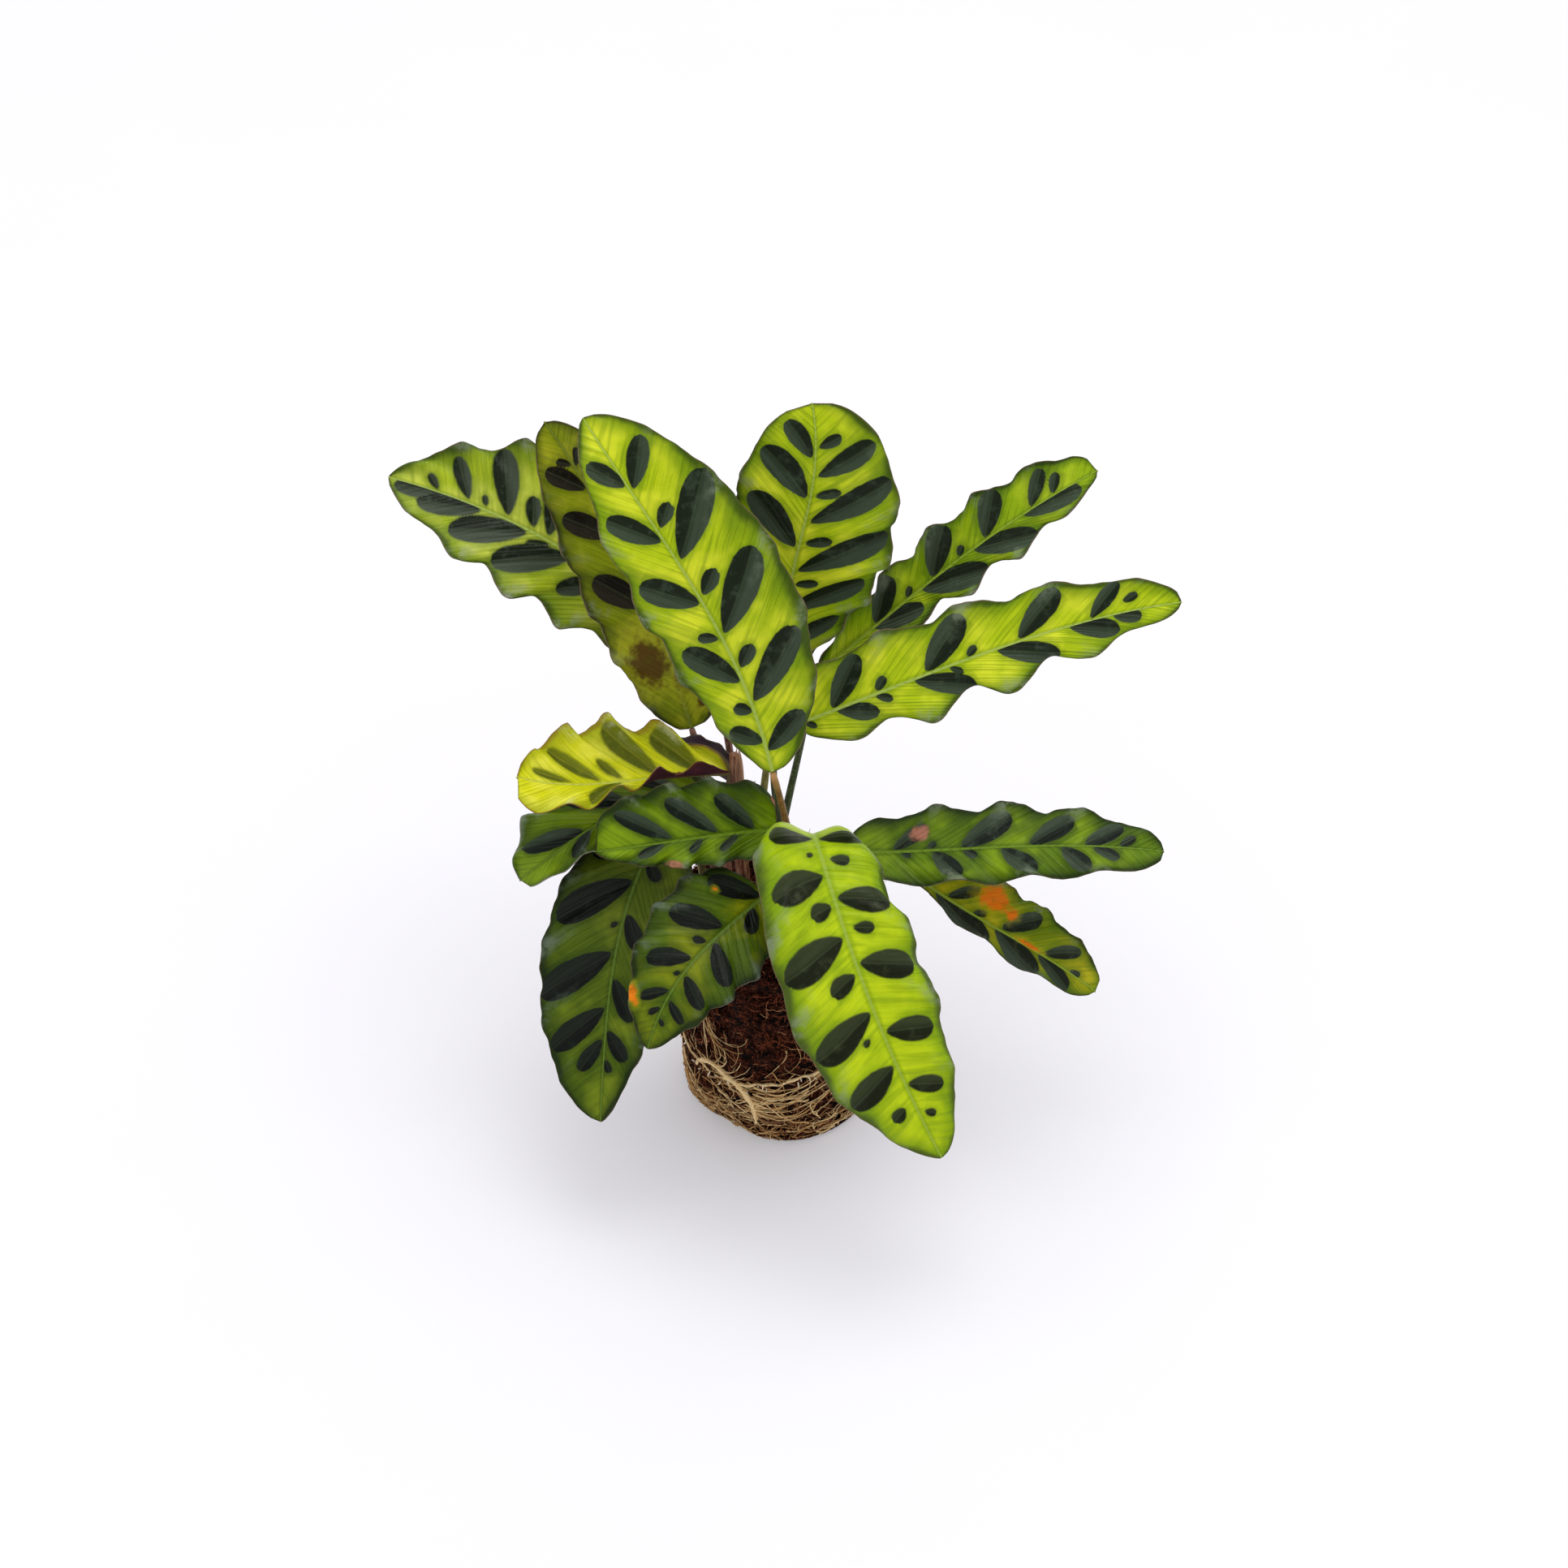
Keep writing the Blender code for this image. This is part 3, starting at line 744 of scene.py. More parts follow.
@dataclass(frozen=True)
class Leaf:
    """One leaf: its midrib is a cubic curve from base to tip.

    face is the way that its upper side looks, and face_tip is that way at its tip where the
    blade turns. patches are places along and across the blade with their half sizes in mm.
    """

    name: str
    base: Point
    rise: Point
    bow: Point
    tip: Point
    face: Point
    left: Half
    right: Half
    finish: LeafFinish
    slot: str
    stalk: Stalk | None = None
    stalk_slot: str = ""
    face_tip: Point | None = None
    patches: tuple[tuple[float, float, float, float], ...] = ()
    rib_half_width: float = 0.65

    THICKNESS = 0.00045
    CELL = 1.25
    CROWDING = 1.2
    BASE_HALF_WIDTH = 0.0012
    TIP_HALF_WIDTH = 0.0006
    WAVE_SLANT = 0.85
    RIPPLES = 2.37
    SMALL_RIPPLES = 5.3
    RIPPLE_WIDENS = 0.00035
    RIPPLE_LIFTS = 0.0004
    PLEAT_HEIGHT = 0.00034
    PLEAT_SPACING = 0.0062
    GROOVE_DEPTH = 0.00035
    GROOVE_HALF_WIDTH = 0.0011
    RIB_PROUD = 0.0008
    RIB_NARROWING = 0.65
    SPOT_BREADTH = 0.37
    SPOT_START = 0.05
    SPINE_SAMPLES = 400
    FAR = 9.0
    SPOT_POINT = 0.72
    SPOT_ROUND = 0.46
    STALK_RADIUS = 0.0014
    SHEATH_RADIUS = 0.0024
    STALK_SIDES = 14
    STALK_STEPS = 70
    HOLE_DEPTH = 0.014
    SOIL_CLEAR = 0.002
    NECK = 0.003
    KNUCKLE = 0.011
    BALL_HEIGHT = 0.114

    def spine(self, u: np.ndarray) -> tuple[np.ndarray, np.ndarray, float]:
        """Follow the midrib.

        Args:
            u: shares of its length.

        Returns:
            Points, directions, and the whole length.
        """
        points = [metres(p) for p in (self.base, self.rise, self.bow, self.tip)]
        t = np.linspace(0, 1, self.SPINE_SAMPLES + 1)
        along = cubic(points, t)[0]
        run = np.concatenate([[0], np.cumsum(np.linalg.norm(np.diff(along, axis=0), axis=1))])
        place, way = cubic(points, np.interp(np.asarray(u) * run[-1], run, t))
        return place, way, run[-1]

    def reach(self, half: Half, u: np.ndarray) -> np.ndarray:
        """Give the half width at u without its waves, in metres.

        Args:
            half: the half of the blade.
            u: shares of the blade's length.

        Returns:
            The half widths.
        """
        before = half.taper * half.belly
        after = half.taper * (1 - half.belly)
        peak = half.belly ** before * (1 - half.belly) ** after
        shape = u ** before * (1 - u) ** after / peak
        return half.width * MM * shape + self.BASE_HALF_WIDTH * (1 - u) + self.TIP_HALF_WIDTH * u

    def surface(self, u: np.ndarray, v: np.ndarray) -> tuple[np.ndarray, dict[str, np.ndarray]]:
        """Work out the blade's upper surface and what its finish reads.

        Args:
            u: shares along the blade.
            v: shares across it, -1 at the left margin and 1 at the right.

        Returns:
            The points, and the attributes by name.
        """
        place, way, length = self.spine(u)
        turn = u[..., None]
        face = np.array(self.face) * (1 - turn) + np.array(self.face_tip or self.face) * turn
        side = unit(np.cross(way, face))
        up = np.cross(side, way)
        left = self._half(self.left, u, np.abs(v), length)
        right = self._half(self.right, u, np.abs(v), length)
        facts = {name: np.where(v > 0, right[name], left[name]) for name in left}
        facts["patch"] = self._patches(u, v, length)
        across = (facts["across"] * np.sign(v))[..., None]
        return place + side * across + up * facts["lift"][..., None], facts

    def _half(self, half: Half, u: np.ndarray, share: np.ndarray, length: float) -> dict[str, np.ndarray]:
        """Work out one half of the blade.

        Args:
            half: its sizes.
            u: shares along the blade.
            share: shares of the way from the midrib to the margin.
            length: the midrib's length, in metres.

        Returns:
            Distances across and up from the midrib, and the finish's attributes, by name.
        """
        slant = self.WAVE_SLANT * half.width * MM / length
        turns = half.waves * (u - slant * share) + half.phase
        ends = np.sqrt(np.sin(math.pi * np.clip(u, 0, 1)))
        swing = np.sin(2 * math.pi * turns)
        wave = (0.9 * swing + 0.1 * swing ** 3) * ends
        quick = np.sin(2 * math.pi * (self.RIPPLES * turns + 0.3))
        quick = (quick + 0.25 * np.sin(2 * math.pi * self.SMALL_RIPPLES * turns)) * ends
        stub = self.BASE_HALF_WIDTH * (1 - u) + self.TIP_HALF_WIDTH * u
        wide = (self.reach(half, u) - stub) * (1 + half.scallop * share * wave) + stub
        wide = wide + self.RIPPLE_WIDENS * quick * share ** 3
        tilt = np.radians(half.cup * (1 - u) + half.cup_tip * u) * np.sqrt(share)
        rib = wide * share
        vein = u * length - rib * self._lean(half, length)
        pleat = self.PLEAT_HEIGHT * np.abs(np.sin(math.pi * vein / self.PLEAT_SPACING)) ** 0.7
        pleat = pleat * smooth(share, 0.04, 0.35) * ends
        groove = self.GROOVE_DEPTH * np.exp(-(rib / self.GROOVE_HALF_WIDTH) ** 2) * ends
        lift = rib * np.sin(tilt) + half.ruffle * MM * share ** 1.7 * wave
        lift = lift + self.RIPPLE_LIFTS * quick * share ** 3 - half.droop * MM * (1 - u) * share ** 4
        spot, core = self._spots(half, u, rib, length)
        return {
            "across": rib * np.cos(tilt),
            "lift": lift + pleat - groove,
            "rim": (wide - rib) / MM,
            "shore": (wide - rib) / (0.6 * half.width * MM + 0.4 * wide),
            "midrib": rib / (self.rib_half_width * MM * (1 - self.RIB_NARROWING * u)),
            "vein": vein / MM,
            "rib": rib / MM,
            "spot": spot,
            "core": core,
            "crest": wave * share ** 1.5,
        }

    def _ends(self, half: Half, spot: Spot, length: float) -> tuple[np.ndarray, np.ndarray]:
        """Give a spot's inner and outer end, along the midrib and out from it, in metres.

        Args:
            half: the half of the blade.
            spot: the oval.
            length: the blade's length in metres.

        Returns:
            The two ends.
        """
        inner = spot[4] if len(spot) > 4 else self.SPOT_START
        start = np.array([spot[0] * length, inner * self.reach(half, np.array(spot[0]))])
        end = np.array([spot[1] * length, spot[2] * self.reach(half, np.array(min(spot[1], 0.98)))])
        return start, end

    def _lean(self, half: Half, length: float) -> float:
        """Give how far a half's side veins run tipwards for each step outwards, as its long spots do."""
        runs = [np.subtract(*self._ends(half, spot, length)) for spot in half.spots if spot[2] > 0.5]
        return float(np.mean([run[0] / run[1] for run in runs])) if runs else self.WAVE_SLANT

    def _spots(self, half: Half, u: np.ndarray, rib: np.ndarray,
               length: float) -> tuple[np.ndarray, np.ndarray]:
        """Measure how far points lie from the nearest spot of their half, and from its middle line.

        Args:
            half: the half with the spots.
            u: shares along the blade.
            rib: distances from the midrib, in metres.
            length: the midrib's length, in metres.

        Returns:
            Distances in mm from the spot's outline, below 0 inside, and from its middle line,
            above 0 on its side towards the leaf's base.
        """
        nearest = np.full(u.shape, self.FAR)
        core = np.full(u.shape, self.FAR)
        for spot in half.spots:
            start, end = self._ends(half, spot, length)
            way = unit(end - start)
            long = np.linalg.norm(end - start)
            aside = long / 2 * (spot[3] if len(spot) > 3 else self.SPOT_BREADTH)
            dx, dy = u * length - start[0], rib - start[1]
            along = dx * way[0] + dy * way[1]
            out = dy * way[0] - dx * way[1]
            t = np.clip(along / long, 0.001, 0.999)
            inner, outer = self.SPOT_POINT, self.SPOT_ROUND
            full = inner ** inner * outer ** outer / (inner + outer) ** (inner + outer)
            wide = aside * t ** inner * (1 - t) ** outer / full
            slope = wide * (inner / t - outer / (1 - t)) / long
            beside = (np.abs(out) - wide) / np.hypot(1, np.clip(slope, -1.3, 1.3))
            beyond = np.maximum(-along, along - long)
            distance = np.where(beyond > 0, np.hypot(beyond, out), beside) / MM
            core = np.where(distance < nearest, out / MM, core)
            nearest = np.minimum(nearest, distance)
        return nearest, np.clip(core, -self.FAR, self.FAR)

    def _patches(self, u: np.ndarray, v: np.ndarray, length: float) -> np.ndarray:
        """Give how strongly points are marked by a blemish, 1 in its middle and 0 well outside.

        Args:
            u: shares of the blade's length.
            v: shares of the half width, below 0 on the left.
            length: the blade's length in metres.

        Returns:
            The mark at each point.
        """
        mark = np.zeros(u.shape)
        for at, across, long, wide in self.patches:
            half = self.right if across > 0 else self.left
            dx = (u - at) * length / MM / long
            dy = (v - across) * self.reach(half, u) / MM / wide
            mark = np.maximum(mark, 1 - 0.4 * np.hypot(dx, dy))
        return mark

    def build_blade(self) -> bpy.types.Object:
        """Make the blade: a grid bent to its surface and thickened, with a raised rib below.

        Returns:
            The object.
        """
        rows = int(self.spine(np.array([0.0]))[2] / MM / self.CELL)
        columns = 2 * max(int((self.left.width + self.right.width) / self.CELL / 2), 10)
        builder = bmesh.new()
        names = ("rim", "shore", "midrib", "vein", "rib", "spot", "core", "crest", "patch")
        layers = {name: builder.verts.layers.float.new(name) for name in names}
        bmesh.ops.create_grid(builder, x_segments=rows, y_segments=columns, size=1)
        grid = np.array([vertex.co for vertex in builder.verts])
        u = np.clip((grid[:, 0] + 1) / 2, 0, 1)
        v = np.sign(grid[:, 1]) * np.abs(grid[:, 1]) ** self.CROWDING
        points, facts = self.surface(u, v)
        facts["rib"] = facts["rib"] * np.sign(v)
        for i, vertex in enumerate(builder.verts):
            vertex.co = points[i]
            for name, layer in layers.items():
                vertex[layer] = facts[name][i]
        bmesh.ops.reverse_faces(builder, faces=builder.faces)
        shell = bmesh.ops.solidify(builder, geom=builder.faces, thickness=self.THICKNESS)
        builder.normal_update()
        for item in shell["geom"]:
            if isinstance(item, bmesh.types.BMFace):
                item.material_index = Side.BACK.value
            elif isinstance(item, bmesh.types.BMVert):
                item.co += item.normal * self.RIB_PROUD * math.exp(-item[layers["midrib"]] ** 2)
        chart = builder.loops.layers.uv.new("leaf")
        for item in builder.faces:
            for loop in item.loops:
                loop[chart].uv = (loop.vert[layers["vein"]] / 10, loop.vert[layers["rib"]] / 10)
        return Maker.piece(f"{self.name}_blade", builder, [self.finish.face, self.finish.back], 50)

    def build_stalk(self) -> bpy.types.Object:
        """Make the stalk: round, sheathed at its foot, with a knuckle below the blade.

        Returns:
            The object.
        """
        x, y = metres(self.stalk.foot)
        way, _ = self.spine(np.array([0.0]))[1:]
        end = metres(self.base) - way[0] * 2 * GAP
        bend = (np.array([x, y, self.BALL_HEIGHT + self.SOIL_CLEAR]), metres(self.stalk.knee),
                metres(self.stalk.elbow), end - way[0] * self.NECK)
        line = cubic(bend, np.linspace(0, 1, self.STALK_STEPS))[0]
        foot = np.array([x, y, self.BALL_HEIGHT - self.HOLE_DEPTH + GAP])
        points = np.vstack([foot, line, end])
        run = np.concatenate([[0], np.cumsum(np.linalg.norm(np.diff(points, axis=0), axis=1))])
        share = run / run[-1]
        radii = self.STALK_RADIUS + (self.SHEATH_RADIUS - self.STALK_RADIUS) * (1 - share) ** 1.5
        knuckle = smooth(run[-1] - run, self.KNUCKLE * 1.2, self.KNUCKLE * 0.8)
        radii = radii * (1 + 0.12 * knuckle) * (1 - 0.15 * smooth(run[-1] - run, 0.002, 0))
        builder = Strand.builder()
        Strand(points, radii, self.STALK_SIDES, 0.8 * knuckle).add(builder)
        Maker.seal(builder)
        return Maker.piece(f"{self.name}_stalk", builder, [self.stalk.finish.skin])

    def build(self) -> None:
        """Make the leaf's pieces and settle them on their nodes."""
        Maker.settle(self.build_blade(), self.slot, f"leaf_{self.name}")
        if self.stalk:
            Maker.settle(self.build_stalk(), self.stalk_slot, f"stalk_{self.name}")


@dataclass
class Shoot:
    """The brown papery shoot, wrapped in dry sheaths, and the pale bract near its top."""

    foot: tuple[float, float] = (-17, 10)
    top: Point = (-20.5, 13, 194)
    foot_radius: float = 0.0034
    top_radius: float = 0.0020
    tongue_top: Point = (-18.6, 12.4, 198)
    tongue_half_width: float = 0.0025
    bract_base: Point = (-18.6, 12.2, 176)
    bract_tip: Point = (-11, 9.4, 181)
    bract_radius: float = 0.0019
    bract_sag: float = 0.0018
    steps: int = 90
    sides: int = 20
    seed: int = 3

    LIPS = (0.42, 0.78)
    LIP_HEIGHT = 0.00035
    CREASE_DEPTH = 0.00012
    GRAIN_DEPTH = 0.00003
    PAPER = StemFinish("dry_sheath", (0.20, 0.070, 0.035), (0.50, 0.27, 0.15), (0.045, 0.016, 0.012),
                       0.6, 0.0006)
    BRACT = StemFinish("pale_bract", (0.46, 0.46, 0.27), (0.66, 0.64, 0.46), (0.22, 0.20, 0.10), 0.5)

    def line(self, t: np.ndarray) -> np.ndarray:
        """Give the shoot's centre at shares of its height above the soil.

        Args:
            t: the shares.

        Returns:
            The points.
        """
        x, y = metres(self.foot)
        start = np.array([x, y, Leaf.BALL_HEIGHT + Leaf.SOIL_CLEAR])
        end = metres(self.top)
        third = np.array([0, 0, (end[2] - start[2]) / 3])
        return cubic((start, start + third, end - third, end), t)[0]

    def build_stem(self) -> bpy.types.Object:
        """Make the shoot, a ribbed stem with the torn lips of two older sheaths.

        Returns:
            The object.
        """
        builder = Strand.builder()
        t = np.linspace(0, 1, self.steps)
        x, y = metres(self.foot)
        below = np.array([[x, y, Leaf.BALL_HEIGHT - Leaf.HOLE_DEPTH + GAP]])
        points = np.vstack([below, self.line(t)])
        share = np.linspace(0, 1, len(points))
        radii = self.foot_radius + (self.top_radius - self.foot_radius) * share
        for lip in self.LIPS:
            radii = radii + self.LIP_HEIGHT * smooth(share, lip - 0.12, lip) * smooth(share, lip + 0.012, lip)
        Strand(points, radii, self.sides, 0.0).add(builder)
        Maker.seal(builder)
        draw = random.Random(self.seed)
        for vertex in builder.verts:
            centre = self.line(np.array([min(max((vertex.co.z - 0.116) / 0.07, 0), 1)]))[0]
            out = Vector((vertex.co.x - centre[0], vertex.co.y - centre[1], 0))
            angle = math.atan2(out.y, out.x)
            crease = math.sin(7 * angle + 25 * vertex.co.z * math.sin(angle)) * self.CREASE_DEPTH
            vertex.co += out.normalized() * (crease + draw.uniform(-1, 1) * self.GRAIN_DEPTH)
        self._add_tongue(builder)
        return Maker.piece("papery_shoot_stem", builder, [self.PAPER.skin])

    def _add_tongue(self, builder: bmesh.types.BMesh) -> None:
        """Add the dry sheath's torn tongue, which clasps the shoot and stands past its top.

        Args:
            builder: the shoot's bmesh.
        """
        tone = builder.verts.layers.float["tone"]
        low, high = metres(self.top) + [0.0022, 0, -0.030], metres(self.tongue_top)
        grid = bmesh.ops.create_grid(builder, x_segments=12, y_segments=24, size=1)
        faces = list({face for vertex in grid["verts"] for face in vertex.link_faces})
        for vertex in grid["verts"]:
            across, up = vertex.co.x, (vertex.co.y + 1) / 2
            half = self.tongue_half_width * (1 - 0.8 * up ** 5)
            torn = 0.0013 * math.sin(7 * across + 2) * up ** 6
            middle = low + (high - low) * up
            wrap = 0.0022 * across ** 2 + 0.0008 * up
            vertex.co = (middle[0] + across * half, middle[1] - 0.0033 + wrap, middle[2] + torn)
            vertex[tone] = 0.35 + 0.3 * abs(across)
        bmesh.ops.solidify(builder, geom=faces, thickness=0.0003)

    def build_bract(self) -> bpy.types.Object:
        """Make the bract, a small pale scale that curls away from the shoot.

        Returns:
            The object.
        """
        t = np.linspace(0, 1, 24)
        start, end = metres(self.bract_base), metres(self.bract_tip)
        points = start + (end - start) * t[:, None]
        points[:, 2] -= self.bract_sag * np.sin(math.pi * t)
        radii = self.bract_radius * (1 - 0.85 * t)
        builder = Strand.builder()
        Strand(points, radii, 14, 0.3).add(builder)
        Maker.seal(builder)
        return Maker.piece("pale_bract", builder, [self.BRACT.skin])

    def build(self) -> None:
        """Make the shoot's pieces and settle them on their nodes."""
        Maker.settle(self.build_stem(), "papery_shoot", "papery_shoot")
        Maker.settle(self.build_bract(), "shoot_bract", "shoot_bract")


@dataclass
class RootBall:
    """The peat in the shape of its nursery pot, with the threads and crumbs that it is made of."""

    height: float = 0.114
    top_radius: float = 0.050
    foot_radius: float = 0.045
    rim: float = 0.004
    foot_bevel: float = 0.0010
    worn_angle: float = 232.0
    worn_spread: float = 24.0
    worn_depth: float = 0.0055
    worn_height: float = 0.024
    around: int = 420
    upward: int = 150
    inward: int = 30
    threads: int = 3200
    crumbs: int = 900
    seed: int = 11

    LUMP_SCALE = 130
    LUMP_SIZE = 0.0017
    HOLE_SCALE = 85
    HOLE_DEPTH = 0.010

    def radius(self, z: float | np.ndarray) -> float | np.ndarray:
        """Give the wall's radius at a height."""
        return self.foot_radius + (self.top_radius - self.foot_radius) * z / self.height

    def worn(self, angle: float | np.ndarray, z: float | np.ndarray) -> float | np.ndarray:
        """Give how much of the foot has broken away at the front left, in metres.

        Args:
            angle: the angle round the ball, in radians.
            z: the height in metres.

        Returns:
            The depth.
        """
        off = (np.degrees(angle) - self.worn_angle + 180) % 360 - 180
        share = np.clip(1 - np.asarray(z) / self.worn_height, 0, 1)
        return self.worn_depth * np.exp(-(off / self.worn_spread) ** 2) * share ** 1.5

    def wall(self, angle: float, z: float, proud: float = 0.0) -> np.ndarray:
        """Give a point on the wall, or proud of it."""
        out = self.radius(z) + proud - float(self.worn(angle, z))
        return np.array([out * math.cos(angle), out * math.sin(angle), z])

    def profile(self) -> list[tuple[float, float]]:
        """Give the outline from the middle of the foot up the wall to the middle of the top.

        Returns:
            Radii and heights.
        """
        foot = [(self.foot_radius - self.foot_bevel) * i / self.inward for i in range(self.inward)]
        outline = [(radius, 0.0) for radius in foot]
        for i in range(self.upward + 1):
            z = self.foot_bevel + (self.height - self.rim - self.foot_bevel) * i / self.upward
            outline.append((self.radius(z), z))
        for i in range(1, 7):
            turn = math.pi / 2 * i / 6
            outline.append((self.top_radius - self.rim * (1 - math.cos(turn)),
                            self.height - self.rim * (1 - math.sin(turn))))
        inner = self.top_radius - self.rim
        outline += [(inner * (1 - i / self.inward), self.height) for i in range(1, self.inward + 1)]
        return outline

    def build_crust(self) -> bpy.types.Object:
        """Make the ball: a grid turned round its axis, then roughened.

        Returns:
            The object.
        """
        outline = self.profile()
        rows = len(outline) - 1
        builder = bmesh.new()
        bmesh.ops.create_grid(builder, x_segments=self.around, y_segments=rows, size=1)
        for vertex in builder.verts:
            angle = (vertex.co.x + 1) * math.pi
            radius, z = outline[round((vertex.co.y + 1) / 2 * rows)]
            vertex.co = self._rough(radius, angle, z)
        Maker.seal(builder)
        return Maker.piece("peat_ball", builder, [PeatFinish().crust])

    def _rough(self, radius: float, angle: float, z: float) -> Vector:
        """Move one point of the ball in or out with the peat's lumps and holes.

        Args:
            radius: the point's distance from the axis.
            angle: its angle in radians.
            z: its height.

        Returns:
            The moved point.
        """
        out = Vector((math.cos(angle), math.sin(angle), 0))
        place = out * radius + Vector((0, 0, z))
        lumps = noise.fractal(place * self.LUMP_SCALE, 0.8, 2.2, 5) * self.LUMP_SIZE
        holes = min(noise.noise(place * self.HOLE_SCALE + Vector((7, 3, 5))) + 0.10, 0) * self.HOLE_DEPTH
        shift = min(lumps + holes - 0.0002, 0.0001 + lumps * 0.15)
        worn = float(self.worn(angle, z)) * (radius / self.foot_radius) ** 4
        wall = min(z / 0.004, 1)
        top = smooth(np.array(z), self.height - 0.003, self.height)
        if radius == 0:
            return Vector((0, 0, z + (lumps if z > 0 else 0)))
        place += out * (shift * wall * (1 - top) - worn) + Vector((0, 0, 1.6)) * shift * float(top)
        if wall < 1:
            place += Vector((0, 0, 1)) * abs(lumps) * 0.4
        return Vector((place.x, place.y, max(place.z, 0)))

    def build_litter(self) -> bpy.types.Object:
        """Make the peat's loose threads and crumbs, half sunk into its wall and top.

        Returns:
            The object.
        """
        draw = random.Random(self.seed)
        builder = Strand.builder()
        for _ in range(self.threads):
            self._thread(draw).add(builder)
        Maker.seal(builder)
        tone = builder.verts.layers.float["tone"]
        for _ in range(self.crumbs):
            place, normal = self._somewhere(draw)
            place = place - normal * 0.0003 - unit(place * [1, 1, 0]) * self.worn(
                math.atan2(place[1], place[0]), place[2])
            crumb = bmesh.ops.create_icosphere(builder, subdivisions=1, radius=draw.uniform(0.0004, 0.0012))
            shade = draw.random() ** 1.6 * 0.9
            stretch = Vector([draw.uniform(0.6, 1.3) for _ in range(3)])
            for vertex in crumb["verts"]:
                rough = 1 + draw.uniform(-0.25, 0.25)
                vertex.co = Vector(place) + Vector([c * s * rough for c, s in zip(vertex.co, stretch)])
                vertex[tone] = shade
        return Maker.piece("peat_threads", builder, [PeatFinish().fibre], 40)

    def _somewhere(self, draw: random.Random) -> tuple[np.ndarray, np.ndarray]:
        """Draw a place on the wall or the top, and the way out of the peat there.

        Args:
            draw: the random draws.

        Returns:
            The place and the way out.
        """
        angle = draw.uniform(0, 2 * math.pi)
        if draw.random() < 0.72:
            z = draw.uniform(0.004, self.height - 0.002)
            out = np.array([math.cos(angle), math.sin(angle), 0.0])
            return out * (self.radius(z) - 0.0006) + [0, 0, z], out
        radius = self.top_radius * math.sqrt(draw.random()) * 0.97
        place = np.array([radius * math.cos(angle), radius * math.sin(angle), self.height - 0.0003])
        return place, np.array([0.0, 0.0, 1.0])

    def _thread(self, draw: random.Random) -> Strand:
        """Draw one peat thread that lies along the surface.

        Args:
            draw: the random draws.

        Returns:
            The thread.
        """
        place, normal = self._somewhere(draw)
        way = unit(np.cross(normal, [draw.gauss(0, 1) for _ in range(3)]))
        bend = np.cross(normal, way) * draw.uniform(-0.4, 0.4)
        long = draw.uniform(0.002, 0.010)
        t = np.linspace(-0.5, 0.5, 5)[:, None]
        points = place + way * t * long + bend * (t * t) * long * 2
        points = points + normal * (0.0009 * np.sin(t * 9 + draw.uniform(0, 6)) + 0.0011)
        flat = np.hypot(points[:, 0], points[:, 1])
        limit = self.radius(points[:, 2])
        if abs(normal[2]) < 0.5:
            pull = np.clip(limit - flat, -1, 0.0) * 0.7
            pull = pull - self.worn(np.arctan2(points[:, 1], points[:, 0]), points[:, 2])
            points[:, :2] *= (1 + pull / flat)[:, None]
        points[:, 2] = np.clip(points[:, 2], 0.0006, None)
        thick = draw.uniform(0.00010, 0.00028)
        return Strand(points, np.full(len(t), thick), 3, draw.random())

    def build(self) -> None:
        """Make the ball's pieces and settle them on its node."""
        Maker.settle(self.build_crust(), "soil", "root_ball")
        Maker.settle(self.build_litter(), "soil", "root_ball")


